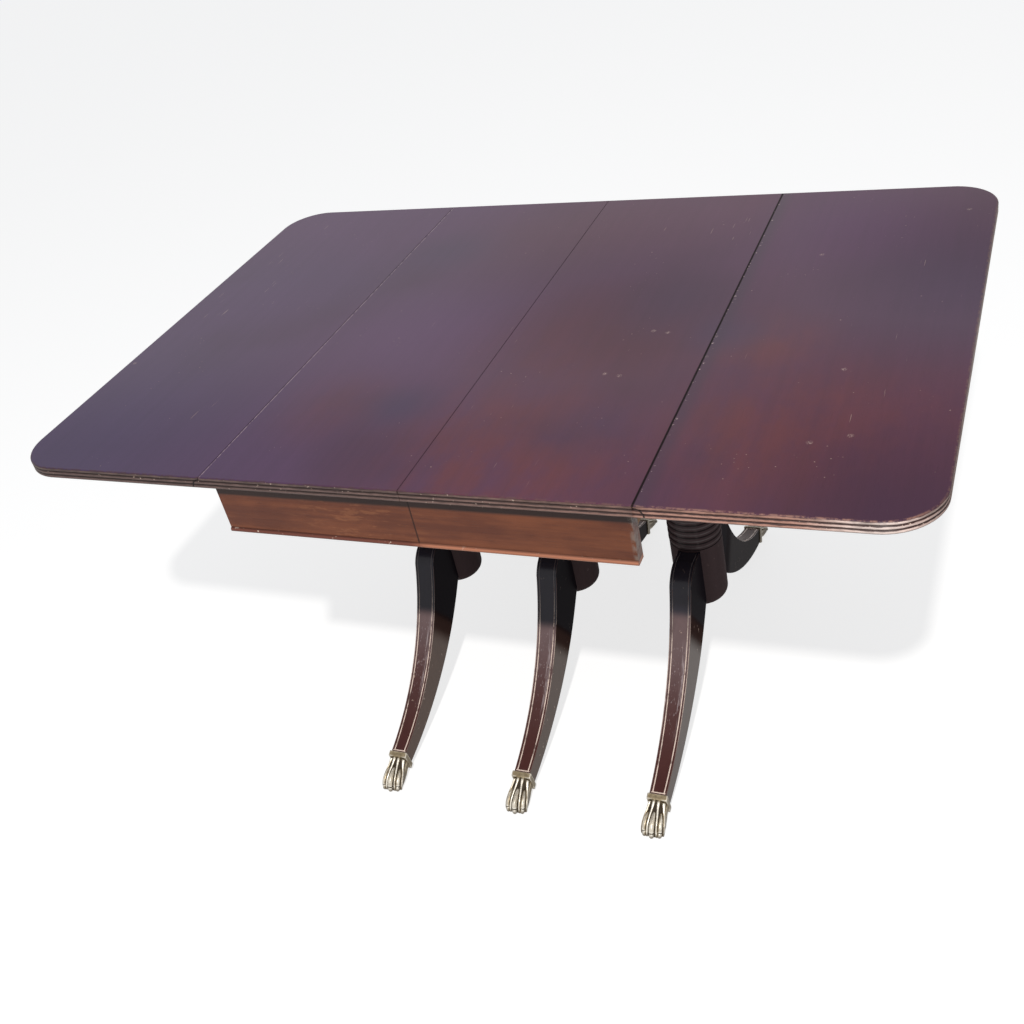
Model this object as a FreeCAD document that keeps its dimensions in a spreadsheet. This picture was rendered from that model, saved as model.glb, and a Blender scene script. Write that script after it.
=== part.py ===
import FreeCAD, Part
import math
import os
import re
import Sketcher
from FreeCAD import Placement, Rotation, Vector

# A drop-leaf dining table: two fixed halves that draw apart on slides, a hinged leaf outside each half,
# and three turned columns with sabre legs and cast paw feet. Millimetres, floor at z = 0, front towards -Y.
SIZES = {
    # Overall
    "table_height": 762,
    "table_width": 996,
    "half_width": 347,
    "leaf_width": 383,
    "top_thickness": 20,
    "corner_radius": 80,
    "seam_gap": 0.6,
    # Reeds along the edge of the top
    "reed_depth": 2.2,
    "rim_width": 14,
    # Rule joint between a half and its leaf
    "joint_fillet": 4,
    "pin_rise": 2,
    "joint_gap": 0.5,
    # Leaf hinges
    "hinge_inset": 182,
    "hinge_length": 62,
    "knuckle_length": 30,
    "plate_inner": 34,
    "plate_outer": 58,
    "plate_thickness": 2,
    "plate_shoulder": 1,
    "barrel_radius": 4,
    "pin_radius": 1.6,
    "pin_clearance": 0.05,
    "hinge_clearance": 0.4,
    # Dowels that line the halves up
    "dowel_inset": 134,
    "dowel_radius": 4,
    "dowel_length": 26,
    "dowel_clearance": 0.3,
    # Apron frame
    "apron_inset": 17,
    "apron_thickness": 20,
    "apron_height": 86,
    "apron_end": 10,
    "bead_height": 8,
    "bead_proud": 3,
    "side_inset": 14,
    "side_thickness": 18,
    "side_height": 46,
    "block_leg": 40,
    "block_height": 12,
    # Pull-out leaf supports
    "loper_width": 24,
    "loper_height": 32,
    "loper_start": 26,
    "loper_gap": 4,
    "loper_clearance": 0.5,
    "stop_length": 24,
    "stop_proud": 8,
    "stop_gap": 1,
    "keeper_length": 30,
    "keeper_wall": 11,
    "keeper_setback": 44,
    # Extension slides
    "slide_inset": 115,
    "slide_width": 22,
    "slide_height": 40,
    "slide_setback": 27,
    "slide_end": 4,
    "slide_relief": 1,
    "relief_end": 2,
    "slide_clearance": 0.4,
    "centre_width": 30,
    "centre_setback": 15,
    "centre_drop": 5,
    "groove_depth": 8,
    "groove_mouth": 4,
    "groove_back": 6,
    # Bearers that carry the columns
    "bearer_width": 80,
    "bearer_margin": 60,
    "bearer_flat": 300,
    "bearer_tip": 40,
    "beam_width": 70,
    "beam_depth": 40,
    "beam_tip": 22,
    # Turned columns
    "column_inset": 91,
    "column_radius": 48,
    "column_drop": 22,
    "column_round": 18,
    "ring_lift": 2,
    "ring_height": 14,
    "ring_depth": 1.4,
    "ring_step": 6,
    "cavetto_height": 22,
    "neck_radius": 31,
    "neck_bead": 6,
    "bead_step": 2,
    "vase_radius": 230,
    "waist_radius": 26,
    "throat_height": 24,
    "throat_radius": 40,
    "throat_flare": 6,
    "cap_bead": 10,
    "cap_bevel": 6,
    "cap_height": 22,
    "cap_radius": 46,
    "tenon_radius": 18,
    "tenon_length": 30,
    "tenon_clearance": 0.3,
    # Dovetail between a leg and its column
    "tail_depth": 15,
    "tail_neck": 8,
    "tail_back": 12,
    "tail_lift": 2,
    "tail_shoulder": 18,
    "tail_clearance": 0.2,
    # Sabre legs
    "leg_width": 40,
    "leg_tip_width": 31,
    "leg_top": 320,
    "leg_root": 208,
    "leg_bite": 4,
    "knee_start": 64,
    "knee_out": 120,
    "knee_drop": 26,
    "knee_radius": 50,
    "sweep_radius": 395,
    "belly_radius": 600,
    "ankle_out": 380,
    "ankle_top": 46,
    "ankle_back": 6,
    "ankle_depth": 31,
    # Cast paw feet
    "paw_length": 64,
    "paw_width": 43,
    "heel_set": 9,
    "sole_round": 4,
    "collar_proud": 3,
    "collar_length": 9,
    "collar_step": 2,
    "flank_radius": 80,
    "toe_height": 18,
    "toe_back": 7,
    "toe_pitch": 9.5,
    "toe_flare": 18,
    "nose_drop": 9,
    "nose_radius": 11,
    "nose_round": 19,
    "instep_radius": 60,
    "flute_radius": 3,
    "flute_sweep": 42,
    "spigot_length": 14,
    "spigot_root": 12,
    "spigot_width": 15,
    "spigot_wall": 8,
    "spigot_slope": 4,
    "spigot_clearance": 0.3,
}

# Heights and distances that several pieces share
TOP = "table_height"
UNDER = "(table_height - top_thickness)"
PIN_Z = "(table_height - top_thickness + pin_rise)"
OVOLO = "(top_thickness - pin_rise - joint_fillet)"
COVE = "(top_thickness - pin_rise - joint_fillet + joint_gap)"
EDGE = "(table_width / 2)"
OUT = "(half_width + leaf_width)"
REED = "((top_thickness * top_thickness / 36 + reed_depth * reed_depth) / (2 * reed_depth))"
APRON_FACE = "(table_width / 2 - apron_inset)"
APRON_BACK = "(table_width / 2 - apron_inset - apron_thickness)"
APRON_END = "(half_width - apron_end)"
SIDE_FACE = "(half_width - side_inset)"
SIDE_BACK = "(half_width - side_inset - side_thickness)"
LOPER_OUT = "(table_width / 2 - apron_inset - apron_thickness - loper_gap)"
SLIDE_Y = "(table_width / 2 - slide_inset)"
BEAM_TOP = "(table_height - top_thickness - slide_height - centre_drop)"
COLUMN_TOP = "(table_height - top_thickness - slide_height - centre_drop - beam_depth)"
COLUMN_BOTTOM = "(leg_root - column_drop)"
PITCH = "(half_width - column_inset)"
TAIL_BOTTOM = "(leg_root + tail_lift)"
TAIL_TOP = "(leg_top - tail_shoulder)"
TAIL_MOUTH = "(tail_neck - (tail_back - tail_neck) * leg_bite / tail_depth)"
ANKLE_LOW = "(ankle_top - ankle_depth)"
SPIGOT_LOW = "(ankle_top - ankle_depth + spigot_wall)"
SPIGOT_HIGH = "(ankle_top - spigot_wall)"
SPIGOT_END = "(ankle_out + spigot_length)"

# How far a cutting or joining outline runs past the face that it has to clear
PAST = "1"

ALIAS = re.compile(r"\b[a-z]+(?:_[a-z]+)+\b")

doc = FreeCAD.newDocument("drop_leaf_table")
sheet = doc.addObject("Spreadsheet::Sheet", "sizes")
for row, (alias, number) in enumerate(SIZES.items(), 1):
    sheet.set(f"A{row}", alias.replace("_", " "))
    sheet.set(f"B{row}", str(number))
    sheet.setAlias(f"B{row}", alias)
doc.recompute()


def size(expression):
    """The number that an expression of the sheet's aliases stands for."""
    return float(sheet.evalExpression(expression))


def bind(thing, target, expression):
    """Tie a property, or a sketch constraint, to the sheet."""
    thing.setExpression(target, ALIAS.sub(r"sizes.\g<0>", expression))


def new_body(label):
    body = doc.addObject("PartDesign::Body", label)
    body.Label = label
    return body


def sketch_on(body, plane, lift="0"):
    """An empty sketch on one of the body's own planes, lifted along that plane's normal."""
    sketch = body.newObject("Sketcher::SketchObject", "outline")
    support = next(item for item in body.Origin.OriginFeatures if item.Role == plane)
    sketch.AttachmentSupport = [(support, "")]
    sketch.MapMode = "FlatFace"
    bind(sketch, "AttachmentOffset.Base.z", lift)
    return sketch


def tie(sketch, kind, geometry, point, expression):
    """Fix one coordinate of a point of the sketch."""
    number = sketch.addConstraint(Sketcher.Constraint(kind, -1, 1, geometry, point, size(expression)))
    bind(sketch, f"Constraints[{number}]", expression)


def run(sketch, corners, closed=True):
    """Lines and arcs through the corners; a corner (x, y, radius, turn) starts an arc to the next one."""
    points = [Vector(size(corner[0]), size(corner[1]), 0) for corner in corners]
    count = len(points) if closed else len(points) - 1
    pieces = []
    for index in range(count):
        begin, end = points[index], points[(index + 1) % len(points)]
        if len(corners[index]) == 2:
            pieces.append((sketch.addGeometry(Part.LineSegment(begin, end), False), 1, 2))
            continue
        radius, turn = size(corners[index][2]), corners[index][3]
        chord = end - begin
        reach = math.sqrt(radius ** 2 - chord.Length ** 2 / 4) / chord.Length
        side = 1 if turn == "left" else -1
        centre = (begin + end) * 0.5 + Vector(-chord.y, chord.x, 0) * reach * side
        first, last = (begin, end) if turn == "left" else (end, begin)
        angles = [math.atan2(p.y - centre.y, p.x - centre.x) for p in (first, last)]
        circle = Part.Circle(centre, Vector(0, 0, 1), radius)
        geometry = sketch.addGeometry(Part.ArcOfCircle(circle, *angles), False)
        pieces.append((geometry, 1, 2) if turn == "left" else (geometry, 2, 1))
        number = sketch.addConstraint(Sketcher.Constraint("Radius", geometry, radius))
        bind(sketch, f"Constraints[{number}]", corners[index][2])
    for index, (geometry, begin, end) in enumerate(pieces):
        tie(sketch, "DistanceX", geometry, begin, corners[index][0])
        tie(sketch, "DistanceY", geometry, begin, corners[index][1])
        if closed or index + 1 < count:
            after = pieces[(index + 1) % count]
            sketch.addConstraint(Sketcher.Constraint("Coincident", geometry, end, after[0], after[1]))
        else:
            tie(sketch, "DistanceX", geometry, end, corners[-1][0])
            tie(sketch, "DistanceY", geometry, end, corners[-1][1])


def rectangle(sketch, left, right, low, high):
    run(sketch, [(left, low), (right, low), (right, high), (left, high)])


def disc(sketch, across, up, radius):
    centre = Vector(size(across), size(up), 0)
    geometry = sketch.addGeometry(Part.Circle(centre, Vector(0, 0, 1), size(radius)), False)
    tie(sketch, "DistanceX", geometry, 3, across)
    tie(sketch, "DistanceY", geometry, 3, up)
    number = sketch.addConstraint(Sketcher.Constraint("Radius", geometry, size(radius)))
    bind(sketch, f"Constraints[{number}]", radius)


def extrude(body, kind, sketch, length, side="One side", reverse=False):
    feature = body.newObject("PartDesign::" + kind, kind.lower())
    feature.Profile = sketch
    feature.SideType = side
    feature.Reversed = reverse
    bind(feature, "Length", length)
    doc.recompute()
    return feature


def pad(body, sketch, length):
    """Material from the sketch along its normal."""
    return extrude(body, "Pad", sketch, length)


def pad_both(body, sketch, length):
    """Material to both sides of the sketch."""
    return extrude(body, "Pad", sketch, length, "Symmetric")


def cut(body, sketch, length):
    """A pocket from the sketch along its normal."""
    return extrude(body, "Pocket", sketch, length, reverse=True)


def cut_both(body, sketch, length):
    """A pocket to both sides of the sketch."""
    return extrude(body, "Pocket", sketch, length, "Symmetric")


def turned_about(body, sketch, place, upright, angle=360, reverse=False, kind="Revolution"):
    """Material, or a groove, turned about a line of the sketch at a distance from its origin."""
    at = size(place)
    span = (Vector(at, 0, 0), Vector(at, 100, 0)) if upright else (Vector(0, at, 0), Vector(100, at, 0))
    axis = sketch.addGeometry(Part.LineSegment(*span), True)
    across, along = ("DistanceX", "DistanceY") if upright else ("DistanceY", "DistanceX")
    for point, reach in ((1, "0"), (2, "100")):
        tie(sketch, across, axis, point, place)
        tie(sketch, along, axis, point, reach)
    feature = body.newObject("PartDesign::" + kind, kind.lower())
    feature.Profile = sketch
    feature.ReferenceAxis = (sketch, ["Axis0"])
    feature.Angle = angle
    feature.Reversed = reverse
    doc.recompute()
    return feature


def again(source, label, turn=0, x="0"):
    """The same piece used again, turned about the vertical through the middle of the table."""
    link = doc.addObject("App::Link", label)
    link.LinkedObject = source
    link.Label = label
    link.Placement = Placement(Vector(), Rotation(Vector(0, 0, 1), turn))
    bind(link, "Placement.Base.x", x)
    return link


def mirrored(source, label):
    """The same piece on the far side of the table."""
    twin = doc.addObject("Part::Mirroring", label)
    twin.Source = source
    twin.Normal = Vector(0, 1, 0)
    twin.Label = label
    return twin


HINGE_ROWS = (f"-({EDGE} - hinge_inset)", "0", f"({EDGE} - hinge_inset)")
DOWEL_ROWS = (f"-({EDGE} - dowel_inset)", "0", f"({EDGE} - dowel_inset)")
DOWN = [TOP, f"{TOP} - top_thickness / 3", f"{TOP} - top_thickness * 2 / 3"]
UP = [UNDER, f"{UNDER} + top_thickness / 3", f"{UNDER} + top_thickness * 2 / 3"]


def reeds(sign, edge, heights, turn):
    """Corners of the three reeds on an edge of the top, from one face towards the other."""
    return [(f"{sign}({edge} - reed_depth)", height, REED, turn) for height in heights]


def rim_section(sign, edge):
    """Outline of a leaf's reeded rim where it stands at a distance from the middle of the table."""
    turn = "right" if sign == "-" else "left"
    inner = f"{sign}({edge} - rim_width - {PAST})"
    return [(inner, UNDER), *reeds(sign, edge, UP, turn), (f"{sign}({edge} - reed_depth)", TOP), (inner, TOP)]


# Fixed half of the top: reeded front and back, ovolo of the rule joint on the outer edge
top = new_body("top_right")
section = sketch_on(top, "YZ_Plane", "seam_gap / 2")
run(section, reeds("", EDGE, DOWN, "right") + [(f"{EDGE} - reed_depth", UNDER)]
    + reeds("-", EDGE, UP, "right") + [(f"-({EDGE} - reed_depth)", TOP)])
pad(top, section, f"half_width + {OVOLO} - seam_gap / 2")
ovolo = sketch_on(top, "XZ_Plane")
run(ovolo, [
    ("half_width", f"{TOP} + {PAST}"),
    ("half_width", f"{TOP} - joint_fillet", OVOLO, "right"),
    (f"half_width + {OVOLO}", PIN_Z),
    (f"half_width + {OVOLO} + {PAST}", PIN_Z),
    (f"half_width + {OVOLO} + {PAST}", f"{TOP} + {PAST}"),
])
cut_both(top, ovolo, "2 * table_width")
gains = sketch_on(top, "XY_Plane", UNDER)
for row in HINGE_ROWS:
    rectangle(gains, "half_width - plate_inner - hinge_clearance", f"half_width + {OVOLO} + {PAST}",
              f"{row} - hinge_length / 2 - hinge_clearance", f"{row} + hinge_length / 2 + hinge_clearance")
cut(top, gains, "plate_thickness + hinge_clearance / 2")
for row in HINGE_ROWS:
    groove = sketch_on(top, "XZ_Plane", f"-({row})")
    disc(groove, "half_width", PIN_Z, "barrel_radius + hinge_clearance")
    cut_both(top, groove, "hinge_length + 2 * hinge_clearance")
sockets = sketch_on(top, "YZ_Plane", "seam_gap / 2")
for row in DOWEL_ROWS:
    disc(sockets, row, f"{TOP} - top_thickness / 2", "dowel_radius + dowel_clearance")
cut(top, sockets, "dowel_length / 2 + dowel_clearance")

# Drop leaf: rounded outer corners, reeds on three sides, cove of the rule joint on the inner edge
leaf = new_body("leaf_right")
INNER = "half_width + seam_gap"
panel = sketch_on(leaf, "XY_Plane", UNDER)
run(panel, [
    (INNER, f"-({EDGE} - rim_width)"),
    (f"{OUT} - corner_radius", f"-({EDGE} - rim_width)", "corner_radius - rim_width", "left"),
    (f"{OUT} - rim_width", f"-({EDGE} - corner_radius)"),
    (f"{OUT} - rim_width", f"{EDGE} - corner_radius", "corner_radius - rim_width", "left"),
    (f"{OUT} - corner_radius", f"{EDGE} - rim_width"),
    (INNER, f"{EDGE} - rim_width"),
])
pad(leaf, panel, "top_thickness")
CORNER_X = f"({OUT} - corner_radius)"
CORNER_Y = f"({EDGE} - corner_radius)"
for sign in ("-", ""):
    rim = sketch_on(leaf, "YZ_Plane", INNER)
    run(rim, rim_section(sign, EDGE))
    pad(leaf, rim, f"{CORNER_X} - ({INNER})")
    rim = sketch_on(leaf, "YZ_Plane", CORNER_X)
    run(rim, rim_section(sign, EDGE))
    turned_about(leaf, rim, f"{sign}{CORNER_Y}", upright=True, angle=90, reverse=sign == "")
rim = sketch_on(leaf, "XZ_Plane")
run(rim, rim_section("", OUT))
pad_both(leaf, rim, f"2 * {CORNER_Y}")
cove = sketch_on(leaf, "XZ_Plane")
run(cove, [
    (f"half_width - {PAST}", f"{UNDER} - {PAST}"),
    (f"half_width + {COVE}", f"{UNDER} - {PAST}"),
    (f"half_width + {COVE}", PIN_Z, COVE, "left"),
    ("half_width", f"{PIN_Z} + {COVE}"),
    (f"half_width - {PAST}", f"{PIN_Z} + {COVE}"),
])
cut_both(leaf, cove, "2 * table_width")
gains = sketch_on(leaf, "XY_Plane", UNDER)
for row in HINGE_ROWS:
    rectangle(gains, "half_width", "half_width + plate_outer + hinge_clearance",
              f"{row} - hinge_length / 2 - hinge_clearance", f"{row} + hinge_length / 2 + hinge_clearance")
cut(leaf, gains, "plate_thickness + hinge_clearance / 2")

# Hinges let in flush under the rule joint
fixed_plates = new_body("hinge_plates_top_right")
plates = sketch_on(fixed_plates, "XY_Plane", UNDER)
for row in HINGE_ROWS:
    rectangle(plates, "half_width - plate_inner", "half_width",
              f"{row} - hinge_length / 2", f"{row} + hinge_length / 2")
pad(fixed_plates, plates, "plate_thickness")
for row in HINGE_ROWS:
    barrel = sketch_on(fixed_plates, "XZ_Plane", f"-({row})")
    disc(barrel, "half_width", PIN_Z, "barrel_radius")
    pad_both(fixed_plates, barrel, "hinge_length")
notches = sketch_on(fixed_plates, "XY_Plane", PIN_Z)
for row in HINGE_ROWS:
    rectangle(notches, "half_width - barrel_radius - hinge_clearance", "half_width + 2 * barrel_radius",
              f"{row} - knuckle_length / 2 - hinge_clearance",
              f"{row} + knuckle_length / 2 + hinge_clearance")
cut_both(fixed_plates, notches, "4 * barrel_radius")
bore = sketch_on(fixed_plates, "XZ_Plane")
disc(bore, "half_width", PIN_Z, "pin_radius + pin_clearance")
cut_both(fixed_plates, bore, "table_width")

leaf_plates = new_body("hinge_plates_leaf_right")
SHOULDER = "half_width + barrel_radius + plate_shoulder"
plates = sketch_on(leaf_plates, "XY_Plane", UNDER)
for row in HINGE_ROWS:
    run(plates, [
        ("half_width", f"{row} - knuckle_length / 2"),
        (SHOULDER, f"{row} - knuckle_length / 2"),
        (SHOULDER, f"{row} - hinge_length / 2"),
        ("half_width + plate_outer", f"{row} - hinge_length / 2"),
        ("half_width + plate_outer", f"{row} + hinge_length / 2"),
        (SHOULDER, f"{row} + hinge_length / 2"),
        (SHOULDER, f"{row} + knuckle_length / 2"),
        ("half_width", f"{row} + knuckle_length / 2"),
    ])
pad(leaf_plates, plates, "plate_thickness")
for row in HINGE_ROWS:
    barrel = sketch_on(leaf_plates, "XZ_Plane", f"-({row})")
    disc(barrel, "half_width", PIN_Z, "barrel_radius")
    pad_both(leaf_plates, barrel, "knuckle_length")
bore = sketch_on(leaf_plates, "XZ_Plane")
disc(bore, "half_width", PIN_Z, "pin_radius + pin_clearance")
cut_both(leaf_plates, bore, "table_width")

hinge_pins = new_body("hinge_pins_right")
for row in HINGE_ROWS:
    pin = sketch_on(hinge_pins, "XZ_Plane", f"-({row})")
    disc(pin, "half_width", PIN_Z, "pin_radius")
    pad_both(hinge_pins, pin, "hinge_length")

# Dowels that line the two halves up where they meet
dowels = new_body("alignment_dowels")
ends = sketch_on(dowels, "YZ_Plane")
for row in DOWEL_ROWS:
    disc(ends, row, f"{TOP} - top_thickness / 2", "dowel_radius")
pad_both(dowels, ends, "dowel_length")

# Apron, with a bead under it, and the side rail under the rule joint
apron = new_body("apron_front_right")
face = sketch_on(apron, "YZ_Plane", "seam_gap / 2")
rectangle(face, f"-{APRON_FACE}", f"-{APRON_BACK}", f"{UNDER} - apron_height", UNDER)
pad(apron, face, f"{APRON_END} - seam_gap / 2")
bead = new_body("bead_front_right")
BEAD_TOP = f"{UNDER} - apron_height"
nose = sketch_on(bead, "YZ_Plane", "seam_gap / 2")
run(nose, [
    (f"-{APRON_BACK}", f"{BEAD_TOP} - bead_height"),
    (f"-{APRON_BACK}", BEAD_TOP),
    (f"-({APRON_FACE} + bead_proud - bead_height / 2)", BEAD_TOP, "bead_height / 2", "left"),
    (f"-({APRON_FACE} + bead_proud)", f"{BEAD_TOP} - bead_height / 2", "bead_height / 2", "left"),
    (f"-({APRON_FACE} + bead_proud - bead_height / 2)", f"{BEAD_TOP} - bead_height"),
])
pad(bead, nose, f"{APRON_END} - seam_gap / 2")

side_rail = new_body("side_rail_right")
face = sketch_on(side_rail, "YZ_Plane", SIDE_BACK)
SLOT_OUT = f"({LOPER_OUT} + loper_clearance)"
SLOT_IN = f"({LOPER_OUT} - loper_width - loper_clearance)"
SLOT_LOW = f"{UNDER} - loper_height - 2 * loper_clearance"
run(face, [
    (f"-{APRON_BACK}", f"{UNDER} - side_height"),
    (APRON_BACK, f"{UNDER} - side_height"),
    (APRON_BACK, UNDER),
    (SLOT_OUT, UNDER),
    (SLOT_OUT, SLOT_LOW),
    (SLOT_IN, SLOT_LOW),
    (SLOT_IN, UNDER),
    (f"-{SLOT_IN}", UNDER),
    (f"-{SLOT_IN}", SLOT_LOW),
    (f"-{SLOT_OUT}", SLOT_LOW),
    (f"-{SLOT_OUT}", UNDER),
    (f"-{APRON_BACK}", UNDER),
])
pad(side_rail, face, "side_thickness")

corner_blocks = new_body("corner_blocks_right")
wedges = sketch_on(corner_blocks, "XY_Plane", f"{UNDER} - side_height")
run(wedges, [
    (SIDE_BACK, f"-{APRON_BACK}"),
    (SIDE_BACK, f"-({APRON_BACK} - block_leg)"),
    (f"{SIDE_BACK} - block_leg", f"-{APRON_BACK}"),
])
run(wedges, [
    (SIDE_BACK, APRON_BACK),
    (f"{SIDE_BACK} - block_leg", APRON_BACK),
    (SIDE_BACK, f"{APRON_BACK} - block_leg"),
])
pad(corner_blocks, wedges, "block_height")

# Leaf supports that draw out through the side rail, each in a keeper
loper = new_body("loper_front_right")
LOPER_TOP = f"({UNDER} - loper_clearance)"
bar = sketch_on(loper, "XZ_Plane", f"{LOPER_OUT} - loper_width")
run(bar, [
    ("loper_start", f"{LOPER_TOP} - loper_height"),
    (f"{SIDE_FACE} - loper_height", f"{LOPER_TOP} - loper_height"),
    (SIDE_FACE, f"{LOPER_TOP} - loper_height / 2"),
    (SIDE_FACE, LOPER_TOP),
    ("loper_start", LOPER_TOP),
])
pad(loper, bar, "loper_width")
stop = sketch_on(loper, "XY_Plane", f"{LOPER_TOP} - loper_height")
rectangle(stop, "loper_start", "loper_start + stop_length",
          f"-{LOPER_OUT}", f"-({LOPER_OUT} - loper_width - stop_proud)")
pad(loper, stop, "loper_height")

keepers = new_body("loper_keepers_right")
KEEPER_IN = f"({LOPER_OUT} - loper_width - loper_clearance - keeper_wall)"
KEEPER_LOW = f"{UNDER} - loper_height - 2 * loper_clearance - keeper_wall"
yoke = sketch_on(keepers, "YZ_Plane", f"{SIDE_BACK} - keeper_setback - keeper_length")
for sign, order in (("-", 1), ("", -1)):
    run(yoke, [
        (f"{sign}{APRON_BACK}", UNDER),
        (f"{sign}{APRON_BACK}", KEEPER_LOW),
        (f"{sign}{KEEPER_IN}", KEEPER_LOW),
        (f"{sign}{KEEPER_IN}", UNDER),
        (f"{sign}{SLOT_IN}", UNDER),
        (f"{sign}{SLOT_IN}", SLOT_LOW),
        (f"{sign}{SLOT_OUT}", SLOT_LOW),
        (f"{sign}{SLOT_OUT}", UNDER),
    ][::order])
pad(keepers, yoke, "keeper_length")

# Extension slides: a dovetail tongue on each half's rails runs in the grooved centre rails
TONGUE_Z = f"({UNDER} - slide_height / 2)"
slides = new_body("slides_right")
REACH = f"({SIDE_BACK} - slide_setback)"
rails = sketch_on(slides, "YZ_Plane", f"-{REACH}")
for middle in (f"-{SLIDE_Y}", SLIDE_Y):
    near = f"({middle} + centre_width / 2 + slide_clearance)"
    run(rails, [
        (near, f"{UNDER} - slide_height"),
        (f"{near} + slide_width", f"{UNDER} - slide_height"),
        (f"{near} + slide_width", UNDER),
        (near, UNDER),
        (near, f"{TONGUE_Z} + groove_mouth - 1.5 * slide_clearance"),
        (f"{near} - groove_depth", f"{TONGUE_Z} + groove_back - 1.5 * slide_clearance"),
        (f"{near} - groove_depth", f"{TONGUE_Z} - groove_back + 1.5 * slide_clearance"),
        (near, f"{TONGUE_Z} - groove_mouth + 1.5 * slide_clearance"),
    ])
pad(slides, rails, f"{REACH} + {SIDE_BACK} - slide_end")
relief = sketch_on(slides, "XZ_Plane")
rectangle(relief, f"-{REACH} - {PAST}", "relief_end", f"{UNDER} - slide_relief", f"{UNDER} + {PAST}")
cut_both(slides, relief, "table_width")

centre_slides = new_body("slides_centre")
rails = sketch_on(centre_slides, "YZ_Plane")
for middle in (f"-{SLIDE_Y}", SLIDE_Y):
    low, high = f"({middle} - centre_width / 2)", f"({middle} + centre_width / 2)"
    run(rails, [
        (low, BEAM_TOP),
        (high, BEAM_TOP),
        (high, f"{TONGUE_Z} - groove_mouth"),
        (f"{high} - groove_depth", f"{TONGUE_Z} - groove_back"),
        (f"{high} - groove_depth", f"{TONGUE_Z} + groove_back"),
        (high, f"{TONGUE_Z} + groove_mouth"),
        (high, f"{UNDER} - slide_relief"),
        (low, f"{UNDER} - slide_relief"),
        (low, f"{TONGUE_Z} + groove_mouth"),
        (f"{low} + groove_depth", f"{TONGUE_Z} + groove_back"),
        (f"{low} + groove_depth", f"{TONGUE_Z} - groove_back"),
        (low, f"{TONGUE_Z} - groove_mouth"),
    ])
pad_both(centre_slides, rails, f"2 * ({SIDE_BACK} - centre_setback)")

# Bearers between the columns and the top
def bearer(label, middle, width, top_z, tip, half_length):
    body = new_body(label)
    shape = sketch_on(body, "YZ_Plane", middle)
    run(shape, [
        (f"-{half_length}", f"{top_z} - {tip}"),
        ("-bearer_flat / 2", COLUMN_TOP),
        ("bearer_flat / 2", COLUMN_TOP),
        (half_length, f"{top_z} - {tip}"),
        (half_length, top_z),
        (f"-{half_length}", top_z),
    ])
    pad_both(body, shape, width)
    mortise = sketch_on(body, "XY_Plane", COLUMN_TOP)
    disc(mortise, middle, "0", "tenon_radius + tenon_clearance")
    cut(body, mortise, "tenon_length + tenon_clearance")
    return body


cleat = bearer("bearer_right", PITCH, "bearer_width", UNDER, "bearer_tip",
               f"({SLIDE_Y} - bearer_margin)")
beam = bearer("bearer_centre", "0", "beam_width", BEAM_TOP, "beam_tip",
              f"({SLIDE_Y} + centre_width / 2)")

# Turned column: drum with rings over it, a vase, a cap and a tenon; dovetail slots for the two legs
column = new_body("column_centre")
turning = sketch_on(column, "XZ_Plane")
RING_BASE = "(leg_top + ring_lift)"
RING_TOP = "(leg_top + ring_lift + 5 * ring_height)"
RING_FOOT = "(column_radius - ring_depth / 2)"
RING = "((ring_height * ring_height / 4 + ring_depth * ring_depth) / (2 * ring_depth))"
rings = [(RING_FOOT, f"{RING_BASE} + ring_height * {count}", RING, "left") for count in range(5)]
NECK_Z = f"({RING_TOP} + cavetto_height)"
CAP_LOW = f"({COLUMN_TOP} - cap_height)"
BEAD_LOW = f"({CAP_LOW} - cap_bevel - cap_bead)"
FLARE = "(waist_radius + throat_flare)"
run(turning, [
    ("0", COLUMN_BOTTOM),
    ("column_radius - column_round", COLUMN_BOTTOM, "column_round", "left"),
    ("column_radius", f"{COLUMN_BOTTOM} + column_round"),
    ("column_radius", RING_BASE),
    *rings,
    (RING_FOOT, RING_TOP),
    ("column_radius - ring_step", RING_TOP, "cavetto_height", "right"),
    ("neck_radius", NECK_Z),
    ("neck_radius + bead_step", NECK_Z, "neck_bead * 0.75", "left"),
    ("neck_radius + bead_step", f"{NECK_Z} + neck_bead", "vase_radius", "left"),
    ("waist_radius", f"{BEAD_LOW} - throat_height", "throat_radius", "right"),
    (FLARE, BEAD_LOW),
    (f"{FLARE} + bead_step", BEAD_LOW, "cap_bead * 0.55", "left"),
    (f"{FLARE} + bead_step", f"{BEAD_LOW} + cap_bead"),
    ("cap_radius", CAP_LOW),
    ("cap_radius", COLUMN_TOP),
    ("tenon_radius", COLUMN_TOP),
    ("tenon_radius", f"{COLUMN_TOP} + tenon_length"),
    ("0", f"{COLUMN_TOP} + tenon_length"),
])
turned_about(column, turning, "0", upright=True)
slots = sketch_on(column, "XY_Plane", f"{COLUMN_BOTTOM} - {PAST}")
for sign, order in (("-", 1), ("", -1)):
    run(slots, [
        (f"-{TAIL_MOUTH}", f"{sign}(column_radius + leg_bite)"),
        (TAIL_MOUTH, f"{sign}(column_radius + leg_bite)"),
        ("tail_back", f"{sign}(column_radius - tail_depth)"),
        ("-tail_back", f"{sign}(column_radius - tail_depth)"),
    ][::order])
cut(column, slots, f"{TAIL_TOP} - {COLUMN_BOTTOM} + {PAST} + tail_clearance")

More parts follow.
